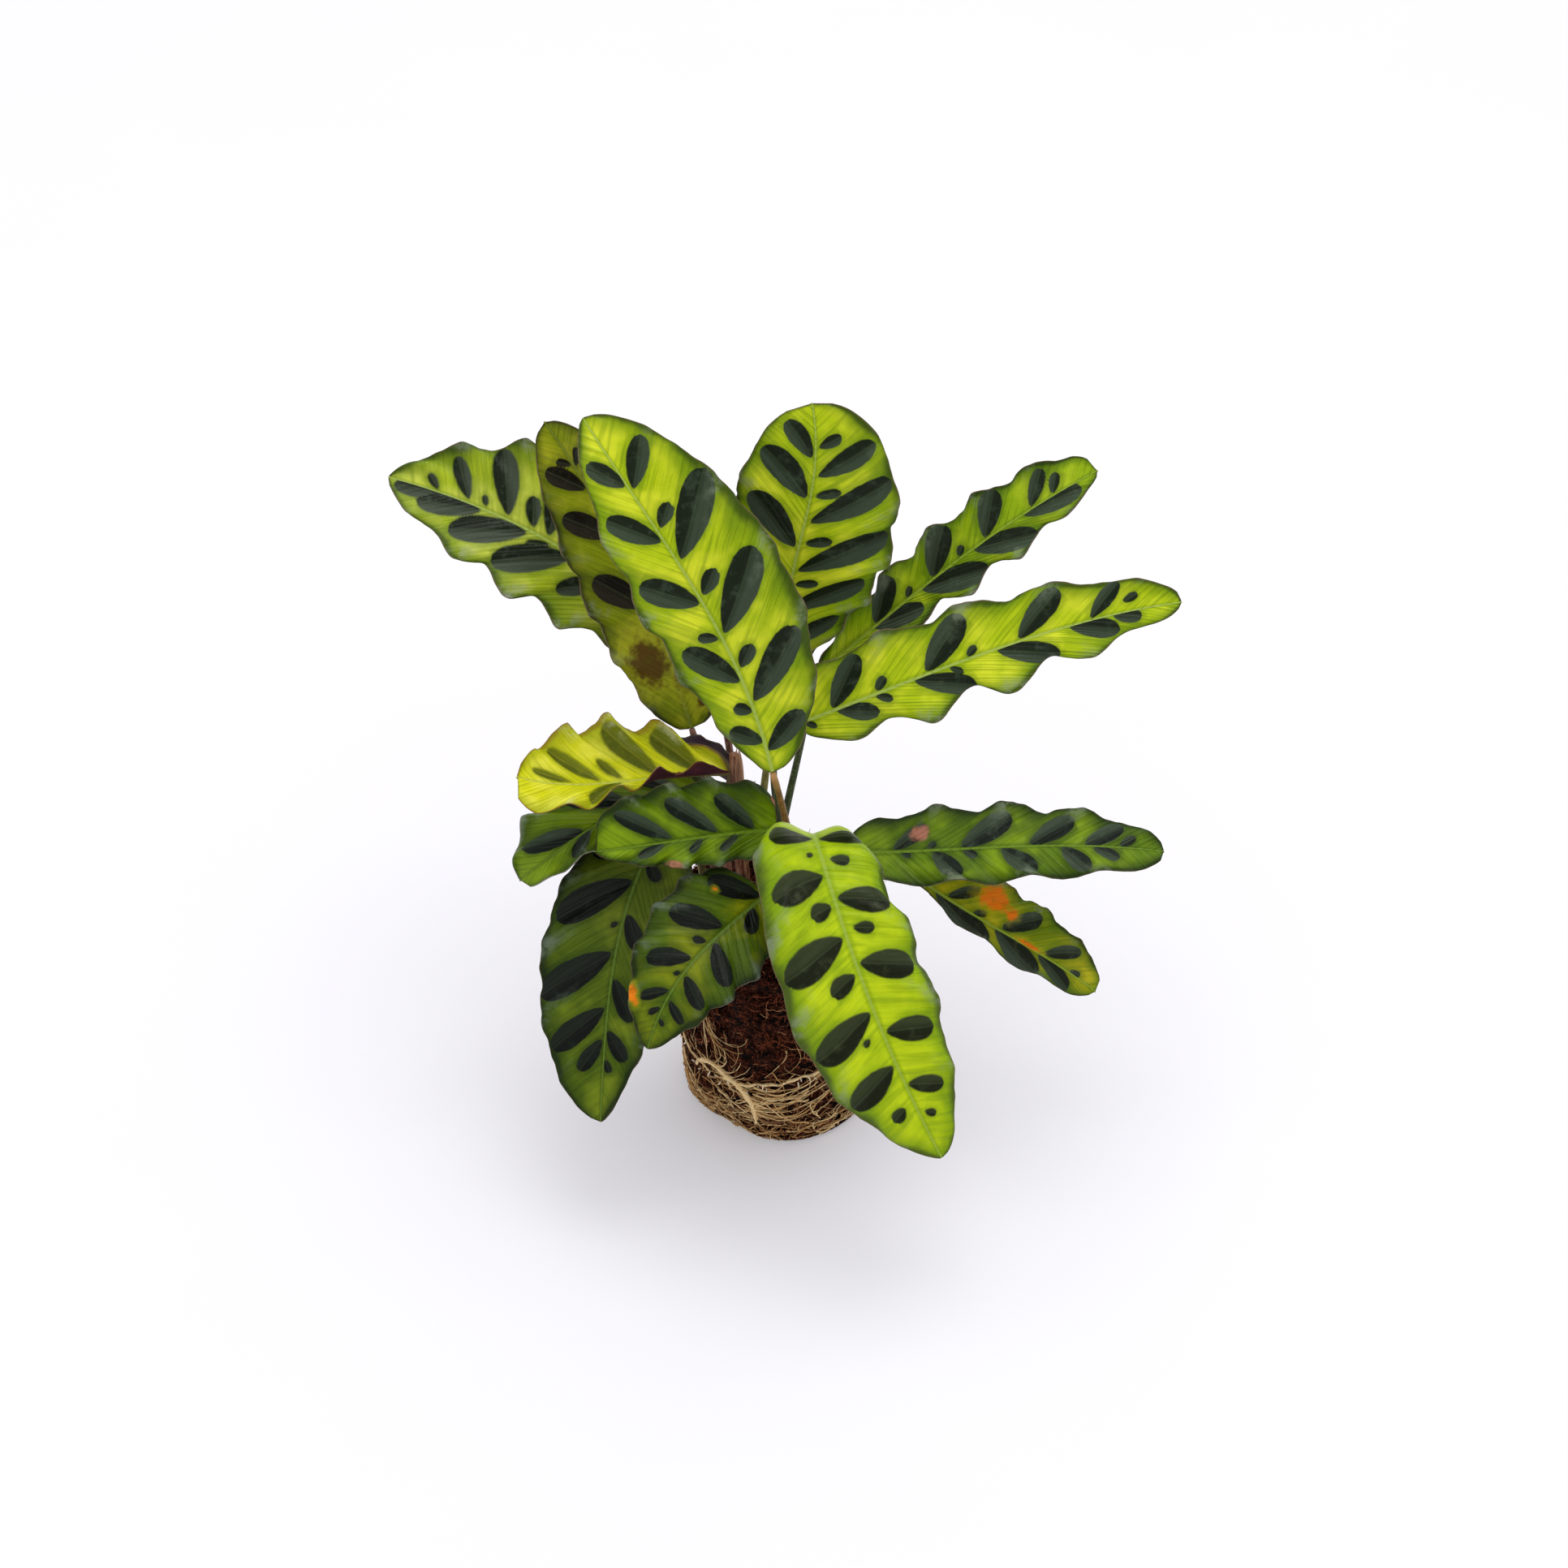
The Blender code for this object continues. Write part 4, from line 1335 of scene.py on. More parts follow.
@dataclass
class RootNet:
    """The roots that wrap the ball: thick ones that bend across it, and a mat of fine ones."""

    ball: RootBall
    girdle_height: float = 0.0445
    girdle_sway: float = 0.0065
    girdle_low: float = 275.0
    girdle_radius: float = 0.00080
    wanderers: int = 410
    foot_share: float = 0.65
    arcs: int = 16
    climbers: int = 46
    tips: int = 70
    highest: float = 0.086
    seed: int = 5

    THICK = ((214, 34), (216, 39), (221, 43), (231, 45), (241, 41), (249, 34), (254, 27), (255, 20),
             (256, 12))
    ROOTLETS = 70
    STRIDE = 0.0019
    FOOT_TUCK = 0.0013
    FAN_ANGLE = 224.0
    FAN_TOP = 0.076

    def girdle_at(self, angle: float) -> float:
        """Give the girdle's height at an angle."""
        return self.girdle_height + self.girdle_sway * math.sin(2 * (angle - math.radians(self.girdle_low)))

    def lay(self, angles: np.ndarray, heights: np.ndarray, proud: np.ndarray | float) -> np.ndarray:
        """Lay a line of points on the wall, no lower than the foot.

        Args:
            angles: in radians.
            heights: in metres.
            proud: how far each stands off the wall, in metres.

        Returns:
            The points.
        """
        heights = np.clip(heights, 0.0008, None)
        tucked = self.FOOT_TUCK * (1 - smooth(heights, 0.0, 0.004))
        out = self.ball.radius(heights) + proud - self.ball.worn(angles, heights) - tucked
        return np.stack([out * np.cos(angles), out * np.sin(angles), heights], axis=-1)

    def thick_roots(self) -> list[Strand]:
        """Give the thick root that bends across the front, and the one that girdles the ball.

        Returns:
            The roots.
        """
        known = np.arange(len(self.THICK))
        t = np.linspace(0, 1, 60)
        soft = np.ones(7) / 7
        line = []
        for values in zip(*self.THICK):
            even = np.interp(t * known[-1], known, values)
            line.append(np.convolve(np.pad(even, 3, "edge"), soft, "valid"))
        angles = np.radians(line[0])
        heights = line[1] * MM + 0.0004 * np.sin(23 * t) + 0.0002 * np.sin(61 * t)
        knots = 0.00012 * np.sin(31 * t) + 0.00010 * np.sin(77 * t) + 0.00008 * np.sin(143 * t)
        radii = 0.0007 + 0.00065 * np.sin(math.pi * np.clip(t * 1.1 - 0.1, 0, 1)) + knots
        strands = [Strand(self.lay(angles, heights, 0.0006), radii, 10, 0.9)]
        draw = random.Random(self.seed + 2)
        for _ in range(self.ROOTLETS):
            i = draw.randrange(8, len(t) - 1)
            heading = draw.gauss(0, 0.7) + (math.pi if draw.random() < 0.25 else 0)
            strands += self.stroll(draw, angles[i], heights[i], heading, draw.uniform(0.003, 0.020),
                                   draw.uniform(0.00018, 0.00042), draw.uniform(0.5, 1.0), 0.3)
        t = np.linspace(0, 1, 300)
        angles = math.radians(236) + 2 * math.pi * 0.97 * t
        heights = np.array([self.girdle_at(angle) for angle in angles])
        heights = heights + 0.0007 * np.sin(17 * angles) + 0.0004 * np.sin(41 * angles)
        radii = self.girdle_radius * (1 + 0.2 * np.sin(29 * angles) - 0.3 * t)
        strands.append(Strand(self.lay(angles, heights, 0.0005), radii, 8, 0.85))
        return strands

    def stroll(self, draw: random.Random, angle: float, z: float, heading: float, long: float,
               thick: float, tone: float, turn: float = 0.35) -> list[Strand]:
        """Let a root wander over the wall and send out rootlets.

        Args:
            draw: the random draws.
            angle: where it starts, in radians.
            z: its height there.
            heading: its way up from level, in radians.
            long: its length, in metres.
            thick: its radius at the start.
            tone: its colour, from 0, old, to 1, pale.
            turn: how much it may turn at each step, in radians.

        Returns:
            The root, then its rootlets.
        """
        stride = self.STRIDE
        proud = draw.uniform(-0.0002, 0.0010)
        bend = draw.gauss(0, 0.08)
        angles, heights = [angle], [z]
        for _ in range(max(int(long / stride), 3)):
            heading += bend + draw.gauss(0, turn) * 0.6
            angles.append(angles[-1] + stride * math.cos(heading) / self.ball.radius(heights[-1]))
            heights.append(min(max(heights[-1] + stride * math.sin(heading), 0.0008), self.highest))
        t = np.linspace(0, 1, len(angles))
        over = proud + 0.0003 * np.sin(11 * t + 9 * angle)
        points = self.lay(np.array(angles), np.array(heights), over)
        strands = [Strand(points, thick * (1 - 0.55 * t), 4, tone)]
        if long > 0.014:
            for _ in range(draw.randint(0, 3)):
                i = draw.randrange(len(angles))
                away = heading + draw.choice((-1, 1)) * draw.uniform(0.4, 1.1)
                strands += self.stroll(draw, angles[i], heights[i], away, draw.uniform(0.003, 0.011),
                                       thick * 0.6, tone * 0.9, 0.5)
        return strands

    def fine_roots(self) -> list[Strand]:
        """Give the mat: wanderers thickest at the foot, level arcs below the girdle, and climbers.

        Returns:
            The roots.
        """
        draw = random.Random(self.seed)
        strands = []
        for _ in range(self.wanderers):
            angle = draw.uniform(0, 2 * math.pi)
            at_foot = draw.random() < self.foot_share
            z = draw.uniform(0.001, 0.018) if at_foot else draw.uniform(0.008, self.girdle_at(angle))
            heading = draw.gauss(0, 0.35) + draw.choice((0, math.pi))
            tone = min(max(draw.gauss(0.46, 0.28), 0.0), 0.95)
            strands += self.stroll(draw, angle, z, heading, draw.uniform(0.008, 0.032),
                                   draw.uniform(0.00014, 0.00050), tone, 0.45)
        for i in range(self.arcs):
            z = 0.020 + 0.024 * i / self.arcs + draw.uniform(-0.001, 0.001)
            angle = math.radians(draw.uniform(248, 258))
            t = np.linspace(0, 1, 22)
            span = draw.uniform(0.45, 0.95)
            sag = draw.uniform(0.002, 0.006)
            heights = z + 0.008 * t * t - sag * np.sin(math.pi * t) + 0.0004 * np.sin(15 * t + i)
            line = self.lay(angle + span * t, heights, 0.0006 + 0.0004 * np.sin(9 * t + 2 * i))
            thick = draw.uniform(0.00022, 0.00046)
            strands.append(Strand(line, thick * (1 - 0.4 * t), 5, draw.uniform(0.5, 0.95)))
        for i in range(self.climbers):
            fan = i < 12
            angle = math.radians(self.FAN_ANGLE) if fan else draw.uniform(0, 2 * math.pi)
            top = self.FAN_TOP + draw.uniform(-0.006, 0.004) if fan else draw.uniform(0.050, 0.080)
            heading = -math.pi / 2 + (draw.uniform(-0.55, 0.45) if fan else draw.gauss(0, 0.4))
            strands += self.stroll(draw, angle + draw.uniform(-0.06, 0.06), top, heading,
                                   draw.uniform(0.016, 0.036), draw.uniform(0.00018, 0.00042),
                                   draw.uniform(0.35, 0.85), 0.2)
        return strands

    def white_tips(self) -> list[Strand]:
        """Give the short white tips that poke out along the girdle.

        Returns:
            The tips.
        """
        draw = random.Random(self.seed + 1)
        strands = []
        for _ in range(self.tips):
            angle = draw.uniform(0, 2 * math.pi)
            start = self.ball.wall(angle, self.girdle_at(angle) + draw.uniform(-0.005, 0.002), 0.0008)
            out = np.array([math.cos(angle), math.sin(angle), draw.uniform(-1.8, 1.8)])
            t = np.linspace(0, 1, 4)[:, None]
            points = start + unit(out) * t * draw.uniform(0.0015, 0.0030)
            strands.append(Strand(points, 0.00042 * (1 - 0.4 * t[:, 0]), 5, 1.3))
        return strands

    def build(self) -> None:
        """Make the net as one piece and settle it on its node."""
        builder = Strand.builder()
        for strand in self.thick_roots() + self.fine_roots() + self.white_tips():
            strand.add(builder)
        Maker.seal(builder)
        Maker.settle(Maker.piece("root_net", builder, [RootFinish().bark]), "roots", "roots")


@dataclass
class Studio:
    """The photograph's view of the plant: camera, soft lights and a pale floor."""

    pitch: float = 42.0
    distance: float = 1.50
    aim: Point = (0.002, 0.0, 0.188)
    lens: float = 77.16
    sensor: float = 36.0
    floor_size: float = 8.0
    floor_glow: float = 0.22
    room_level: float = 0.66
    room_rise: Point = (0.0, 0.15, 0.56)
    room_least: float = 0.05

    def build_camera(self) -> None:
        """Place the camera."""
        data = bpy.data.cameras.new("photo_view")
        data.lens = self.lens
        data.sensor_width = self.sensor
        data.sensor_fit = "HORIZONTAL"
        data.clip_start = 0.05
        camera = bpy.data.objects.new("photo_view", data)
        angle = math.radians(self.pitch)
        back = Vector((0, -math.cos(angle), math.sin(angle)))
        camera.location = Vector(self.aim) + back * self.distance
        camera.rotation_euler = (math.pi / 2 - angle, 0, 0)
        bpy.context.scene.collection.objects.link(camera)
        bpy.context.scene.camera = camera

    def build_light(self, name: str, place: Point, size: float, power: float, colour: Colour) -> None:
        """Place one softbox that faces the plant.

        Args:
            name: the light's name.
            place: where it stands.
            size: its breadth in metres.
            power: its power in watts.
            colour: its colour.
        """
        data = bpy.data.lights.new(name, "AREA")
        data.shape = "DISK"
        data.size = size
        data.energy = power
        data.color = colour
        lamp = bpy.data.objects.new(name, data)
        lamp.location = place
        lamp.rotation_euler = (Vector(place) - Vector(self.aim)).to_track_quat("Z", "Y").to_euler()
        bpy.context.scene.collection.objects.link(lamp)

    def build_world(self) -> None:
        """Fill the room with soft light that falls off towards the floor and the camera."""
        world = bpy.data.worlds.new("white_room")
        world.use_nodes = True
        tree = world.node_tree
        way = tree.nodes.new("ShaderNodeTexCoord").outputs["Generated"]
        fall = tree.nodes.new("ShaderNodeVectorMath")
        fall.operation = "DOT_PRODUCT"
        fall.inputs[1].default_value = self.room_rise
        tree.links.new(way, fall.inputs[0])
        level = tree.nodes.new("ShaderNodeMath")
        level.operation = "ADD"
        tree.links.new(fall.outputs["Value"], level.inputs[0])
        level.inputs[1].default_value = self.room_level
        lit = tree.nodes.new("ShaderNodeMath")
        lit.operation = "MAXIMUM"
        tree.links.new(level.outputs[0], lit.inputs[0])
        lit.inputs[1].default_value = self.room_least
        background = tree.nodes["Background"]
        background.inputs["Color"].default_value = (0.975, 0.97, 1.0, 1)
        tree.links.new(lit.outputs[0], background.inputs["Strength"])
        bpy.context.scene.world = world

    def build_floor(self) -> None:
        """Lay the pale floor."""
        builder = bmesh.new()
        bmesh.ops.create_grid(builder, x_segments=1, y_segments=1, size=self.floor_size / 2)
        floor = Maker.piece("white_floor", builder, [self.paper])

    def paper(self) -> bpy.types.Material:
        """Make the floor's even white.

        Returns:
            The material.
        """
        g = Graph("white_floor")
        cloud = g.noise(g.place(), 6.0, 2.0)
        self_light = (0.95, 0.95, 1.0)
        g.feed(g.shader.inputs["Emission Color"], self_light)
        g.shader.inputs["Emission Strength"].default_value = self.floor_glow
        return g.finish(g.mix(cloud, (0.66, 0.655, 0.675), (0.68, 0.675, 0.695)), 0.7, 0.1)

    def build(self) -> None:
        """Build the whole stage."""
        self.build_camera()
        self.build_world()
        self.build_light("top_soft", (0.15, 0.20, 2.2), 1.3, 12.0, (1.0, 0.99, 0.97))
        self.build_floor()
        bpy.context.scene.view_settings.view_transform = "Standard"


BRIGHT = LeafFinish("bright_leaf")
# Paler, greyer green with stronger highlights on the ovals and crests: partly the leaf's own paler green,
# partly painted light.
SOFT = replace(BRIGHT, name="soft_leaf", lime=(0.38, 0.49, 0.015), pale=(0.56, 0.63, 0.07), veined=0.10,
               deep=(0.13, 0.21, 0.006), painted_sheen=(0.060, 0.080, 0.050), painted_glint=(0.36, 0.40, 0.30), soft=0.7)
VIVID = replace(BRIGHT, name="vivid_leaf", lime=(0.36, 0.50, 0.002), pale=(0.50, 0.63, 0.006),
                halo=0.4, veined=0.06,
                deep=(0.14, 0.26, 0.001), margin=(0.045, 0.075, 0.008), spot=(0.006, 0.010, 0.001),
                painted_sheen=(0.034, 0.047, 0.016), band=0.15, rib=(0.30, 0.42, 0.05), soft=0.6)
FRESH = LeafFinish("fresh_leaf", lime=(0.27, 0.42, 0.003), pale=(0.44, 0.57, 0.015),
                   deep=(0.065, 0.14, 0.001),
                   margin=(0.016, 0.036, 0.002), rib=(0.26, 0.38, 0.03), patch=(0.40, 0.16, 0.10),
                   veined=0.12)
# Darker greens for the leaves that lie below the others: partly their own deep green, partly painted shade.
DARK_AND_SHADED = replace(FRESH, name="dark_and_shaded_leaf", lime=(0.105, 0.19, 0.001), pale=(0.21, 0.33, 0.003),
               deep=(0.024, 0.056, 0.001), margin=(0.012, 0.026, 0.002), rib=(0.14, 0.24, 0.01),
               spot=(0.004, 0.009, 0.004), edge=(0.07, 0.055, 0.02), halo=0.6, band=0.18, painted_fold_shade=0.22)
# Its pale grey-green margin and rim and its strong pale crest highlight are painted light on the curled edge.
SHEEN_EDGED = replace(DARK_AND_SHADED, name="sheen_edged_leaf", lime=(0.16, 0.26, 0.006), painted_glint=(0.42, 0.50, 0.38), painted_glint_amount=0.85,
               edge=(0.30, 0.26, 0.22), margin=(0.15, 0.20, 0.11), band=0.11)
BLOTCHED = replace(FRESH, name="blotched_leaf", lime=(0.23, 0.29, 0.001), pale=(0.46, 0.42, 0.006),
                   patch=(0.78, 0.19, 0.003), yellowed=0.35)
SHADED = LeafFinish("shaded_leaf", lime=(0.085, 0.135, 0.003), pale=(0.17, 0.235, 0.008),
                    deep=(0.024, 0.050, 0.001), spot=(0.002, 0.004, 0.002), painted_sheen=(0.011, 0.017, 0.010),
                    glow=(0.04, 0.06, 0.03), painted_glint=(0.17, 0.22, 0.16), margin=(0.008, 0.018, 0.002),
                    rib=(0.11, 0.19, 0.02), edge=(0.10, 0.075, 0.045),
                    patch=(0.75, 0.20, 0.004), painted_fold_shade=0.28)
# The darker greens of the shaded copy, painted shade, with the yellow round its patches that the leaf has
# itself.
SHADED_TURNING = replace(SHADED, name="shaded_turning_leaf", lime=(0.080, 0.140, 0.002), pale=(0.21, 0.25, 0.003),
                  yellowed=0.7)
OLIVE_LEAF = LeafFinish("olive_leaf", lime=(0.24, 0.30, 0.004), pale=(0.44, 0.45, 0.02), yellowed=0.6,
                        deep=(0.075, 0.105, 0.003), spot=(0.007, 0.006, 0.003), painted_sheen=(0.024, 0.022, 0.012),
                        margin=(0.025, 0.035, 0.004), rib=(0.20, 0.26, 0.03), patch=(0.105, 0.058, 0.006))
YELLOW = LeafFinish("yellow_leaf", lime=(0.70, 0.71, 0.006), pale=(0.92, 0.88, 0.09),
                    deep=(0.36, 0.41, 0.001),
                    spot=(0.085, 0.105, 0.001), painted_sheen=(0.17, 0.20, 0.003), margin=(0.30, 0.24, 0.01),
                    glow=(0.42, 0.40, 0.04), edge=(0.20, 0.07, 0.02), rib=(0.52, 0.58, 0.12), band=0.08,
                    soft=0.9, painted_glint=(0.88, 0.88, 0.55), painted_glint_amount=0.45)
# The rolled leaf keeps the shaded copy's darker greens, painted shade, with a greyer purple underside.
ROLLED = replace(SHADED, name="rolled_leaf", maroon=(0.028, 0.017, 0.022), wine=(0.10, 0.070, 0.080))

OLIVE = StemFinish("olive_stalk", (0.15, 0.13, 0.03), (0.30, 0.27, 0.07), (0.05, 0.045, 0.02))
DARK = StemFinish("dark_stalk", (0.035, 0.05, 0.018), (0.09, 0.12, 0.04), (0.015, 0.02, 0.01))
RUST = StemFinish("rust_stalk", (0.26, 0.12, 0.035), (0.40, 0.22, 0.08), (0.10, 0.05, 0.02))
PINK = StemFinish("pink_stalk", (0.62, 0.28, 0.18), (0.78, 0.48, 0.34), (0.32, 0.12, 0.08))
BROWN = StemFinish("brown_stalk", (0.13, 0.050, 0.035), (0.26, 0.13, 0.09), (0.04, 0.015, 0.012))

LEAVES = (
    Leaf("back_left", (-48, 58, 222), (-78, 66, 264), (-128, 80, 284), (-174, 90, 291), (0.15, -0.65, 0.75),
         Half(29, 0.45, 1.2, 8, 8, 2, 5.0, 0.40, 0.15,
              ((0.08, 0.20, 0.7), (0.28, 0.40, 0.6), (0.41, 0.62, 0.75), (0.56, 0.78, 0.68),
               (0.71, 0.90, 0.5), (0.83, 0.98, 0.4), (0.48, 0.55, 0.2), (0.62, 0.67, 0.15))),
         Half(39, 0.40, 1.3, 8, 8, 4, 6.0, 0.55, 0.10,
              ((0.12, 0.20, 0.8), (0.32, 0.40, 0.9), (0.50, 0.55, 0.95), (0.63, 0.72, 0.95, 0.38),
               (0.755, 0.83, 0.8), (0.42, 0.45, 0.35, 0.5), (0.55, 0.59, 0.4, 0.5),
               (0.70, 0.72, 0.2, 0.6), (0.85, 0.89, 0.4, 0.5))),
         SOFT, "leaf_bright", Stalk((-18, 30), (-24, 46, 198), (-26, 49, 202), BROWN), "stalk_brown"),
    Leaf("left_rear", (-40, 36, 190), (-52, 48, 234), (-69, 57, 286), (-101, 66, 338), (0.10, -0.85, 0.40),
         Half(24, 0.50, 1.0, 15, 15, 2, 5.5, 0.30, 0.05,
              ((0.17, 0.29, 0.7), (0.39, 0.54, 0.7, 0.42), (0.62, 0.75, 0.75, 0.42),
               (0.78, 0.89, 0.75, 0.42), (0.86, 0.895, 0.36, 0.5))),
         Half(24, 0.45, 1.0, 10, 10, 2, 5.0, 0.90, 0.02,
              ((0.125, 0.20, 0.7), (0.32, 0.45, 0.8), (0.55, 0.68, 0.8), (0.75, 0.84, 0.7),
               (0.85, 0.90, 0.4))),
         OLIVE_LEAF, "leaf_fresh", Stalk((-30, 19), (-31, 34, 135), (-38, 43, 165), BROWN), "stalk_olive",
         patches=((0.235, -0.42, 11, 8), (0.165, 0.45, 9, 8), (0.07, 0.6, 3, 3))),
    Leaf("left_front", (-3, -22, 215), (-18, 0, 276), (-45, -10, 324), (-82, 32, 365), (0.05, -0.85, 0.55),
         Half(24, 0.50, 1.4, 6, 6, 1.5, 5.0, 0.15, 0.08,
              ((0.08, 0.14, 0.85, 0.5), (0.25, 0.395, 0.72), (0.48, 0.60, 0.8, 0.42),
               (0.66, 0.775, 0.8, 0.40), (0.815, 0.905, 0.8, 0.45), (0.165, 0.195, 0.42, 0.7),
               (0.378, 0.408, 0.38, 0.52))),
         Half(38, 0.50, 1.25, 6, 6, 3, 5.5, 0.20, 0.02,
              ((0.055, 0.135, 0.82, 0.42), (0.19, 0.335, 0.85, 0.34), (0.385, 0.545, 0.80, 0.36),
               (0.60, 0.755, 0.97, 0.36), (0.80, 0.895, 0.78, 0.42), (0.285, 0.33, 0.28, 0.6),
               (0.495, 0.54, 0.31, 0.6), (0.69, 0.73, 0.32, 0.6))),
         BRIGHT, "leaf_bright", Stalk((9, 13), (5, -3, 158), (0, -17, 198), RUST), "stalk_rust"),
    Leaf("back_centre", (3, 34, 224), (-3, 40, 277), (22, 35, 316), (14, 56, 355), (0, -0.95, 0.35),
         Half(33, 0.55, 0.8, 6, 6, 2, 5.0, 0.50, 0.04,
              ((0.14, 0.32, 0.8), (0.32, 0.50, 0.8), (0.50, 0.69, 0.8), (0.685, 0.87, 0.85, 0.4),
               (0.825, 0.96, 0.65, 0.42))),
         Half(38, 0.60, 1.3, 6, 6, 3, 5.5, 0.55, 0.04,
              ((0.10, 0.26, 0.82, 0.27), (0.25, 0.43, 0.87, 0.26), (0.41, 0.62, 0.93, 0.26),
               (0.60, 0.78, 0.95, 0.28), (0.765, 0.88, 0.9, 0.32), (0.355, 0.385, 0.34, 0.42),
               (0.52, 0.555, 0.35, 0.42), (0.695, 0.725, 0.34, 0.42), (0.86, 0.895, 0.42, 0.5))),
         BRIGHT, "leaf_bright", Stalk((-8, 20), (-11, 22, 150), (-4, 30, 196), OLIVE), "stalk_olive"),
    Leaf("back_right", (18, 54, 207), (55, 58, 245), (93, 68, 280), (140, 80, 302), (-0.3, -0.65, 0.70),
         Half(17, 0.65, 1.0, 10, 10, 3, 6.0, 0.70, 0.10,
              ((0.23, 0.35, 0.9, 0.48), (0.445, 0.56, 0.95, 0.46), (0.635, 0.73, 0.95, 0.46),
               (0.79, 0.87, 0.85), (0.35, 0.38, 0.25, 0.6), (0.54, 0.57, 0.25, 0.6),
               (0.86, 0.90, 0.6, 0.5))),
         Half(14, 0.60, 1.5, 10, 10, 2, 5.5, 0.80, 0.28,
              ((0.22, 0.38, 0.6), (0.40, 0.60, 0.85), (0.59, 0.77, 0.9), (0.76, 0.94, 0.5),
               (0.48, 0.53, 0.35, 0.5), (0.65, 0.69, 0.2, 0.6))),
         FRESH, "leaf_fresh", Stalk((-4, 12), (-1, 16, 140), (12, 40, 184), DARK), "stalk_dark"),
    Leaf("right_upper", (9, 8, 217), (55, 12, 236), (117, 16, 270), (174, 20, 276), (-0.15, -0.65, 0.75),
         Half(22, 0.30, 0.6, 15, 15, 3, 4.7, 0.45, 0.08,
              ((0.09, 0.20, 0.85, 0.42), (0.345, 0.48, 0.85, 0.42), (0.59, 0.72, 0.9),
               (0.775, 0.86, 0.95), (0.21, 0.245, 0.25, 0.6), (0.455, 0.485, 0.2, 0.6),
               (0.86, 0.90, 0.55, 0.5, 0.3))),
         Half(16, 0.40, 0.9, -15, -10, 2, 4.6, 0.10, 0.33,
              ((0.10, 0.20, 0.5, 0.42), (0.31, 0.455, 0.72, 0.34), (0.53, 0.68, 0.72, 0.34),
               (0.72, 0.84, 0.62, 0.40), (0.01, 0.04, 0.4, 0.5), (0.205, 0.245, 0.3, 0.5),
               (0.405, 0.435, 0.28, 0.5), (0.83, 0.90, 0.35, 0.5))),
         BRIGHT, "leaf_bright", Stalk((4, 6), (8, 6, 142), (-14, 2, 200), DARK), "stalk_dark"),
    Leaf("left_yellow", (-23.1, 12.2, 183.5), (-54, 8, 189), (-86, -7, 187), (-115, -14, 205), (0, 0.1, 1),
         Half(14, 0.80, 1.0, 92, -45, 4, 4.5, 0.20, 0.00,
              ((0.20, 0.40, 0.8), (0.50, 0.68, 0.8))),
         Half(28, 0.56, 1.35, 38, 30, 4, 4.2, 0.10, 0.03,
              ((0.12, 0.32, 0.88, 0.30), (0.31, 0.54, 0.92, 0.27), (0.59, 0.83, 0.85, 0.24),
               (0.49, 0.59, 0.42, 0.35), (0.73, 0.92, 0.40, 0.22))),
         YELLOW, "leaf_yellow"),
    Leaf("left_under", (-33, 18, 160), (-59, 18, 175), (-84, -2, 166), (-116, -26, 154), (-0.2, -0.2, 1),
         Half(10, 0.55, 0.5, -10, -10, 2, 5.0, 0.10, 0.00, ((0.30, 0.45, 0.8), (0.60, 0.75, 0.8))),
         Half(27, 0.50, 1.0, 5, 5, 5, 5.0, 0.40, 0.08,
              ((0.15, 0.34, 0.8), (0.38, 0.60, 0.84, 0.36), (0.63, 0.90, 0.7, 0.36))),
         SHEEN_EDGED, "leaf_shaded", Stalk((-24, 14), (-24, 14, 142), (-27, 18, 157), PINK), "stalk_pink"),
    Leaf("left_near", (-1, -15, 174), (-20, -23, 181), (-53, -32, 181), (-80, -44, 188), (0, -0.7, 0.70),
         Half(12, 0.35, 1.0, 5, 5, 3, 5.0, 0.05, 0.10,
              ((0.22, 0.34, 0.55, 0.3), (0.42, 0.50, 0.5, 0.4), (0.62, 0.78, 0.6, 0.3))),
         Half(24, 0.48, 0.5, 8, 8, 3, 4.4, 0.70, 0.06,
              ((0.13, 0.33, 0.72, 0.34), (0.33, 0.60, 0.75, 0.28), (0.58, 0.88, 0.80, 0.26))),
         DARK_AND_SHADED, "leaf_fresh", Stalk((-9, 1), (-10, 0, 145), (-6, -12, 168), OLIVE), "stalk_olive",
         patches=((0.02, 0.9, 1.5, 1.2), (0.59, -0.9, 3, 1.5))),
    Leaf("low_left", (-54, 12, 155), (-72, -27, 133), (-77, -46, 132), (-81, -88, 62), (-0.1, -0.55, 0.80),
         Half(26, 0.35, 1.2, 5, 5, 2, 5.0, 0.20, 0.07,
              ((0.14, 0.20, 0.4, 0.5), (0.33, 0.44, 0.4, 0.45), (0.54, 0.67, 0.55, 0.4),
               (0.705, 0.80, 0.65, 0.45), (0.80, 0.84, 0.25, 0.6))),
         Half(32, 0.45, 1.1, 5, 5, 2, 5.0, 0.75, 0.01,
              ((0.06, 0.18, 0.85), (0.22, 0.395, 0.9), (0.46, 0.62, 1.0), (0.635, 0.78, 0.95),
               (0.735, 0.84, 0.5, 0.42), (0.36, 0.38, 0.15, 0.6))),
         SHADED, "leaf_shaded", Stalk((-35, 11), (-36, 11, 140), (-46, 20, 157), OLIVE), "stalk_olive"),
    Leaf("low_front", (-6, -34, 153), (-22, -57, 154), (-48, -77, 152), (-58, -94, 116), (0, -0.6, 0.80),
         Half(24, 0.40, 1.2, 5, 5, 1.5, 5.0, 0.45, 0.08,
              ((0.11, 0.23, 0.4, 0.5), (0.385, 0.52, 0.8, 0.42), (0.60, 0.70, 0.8, 0.42),
               (0.74, 0.82, 0.75), (0.84, 0.87, 0.3, 0.6))),
         Half(28, 0.35, 1.3, 5, 5, 1.0, 5.5, 0.10, 0.05,
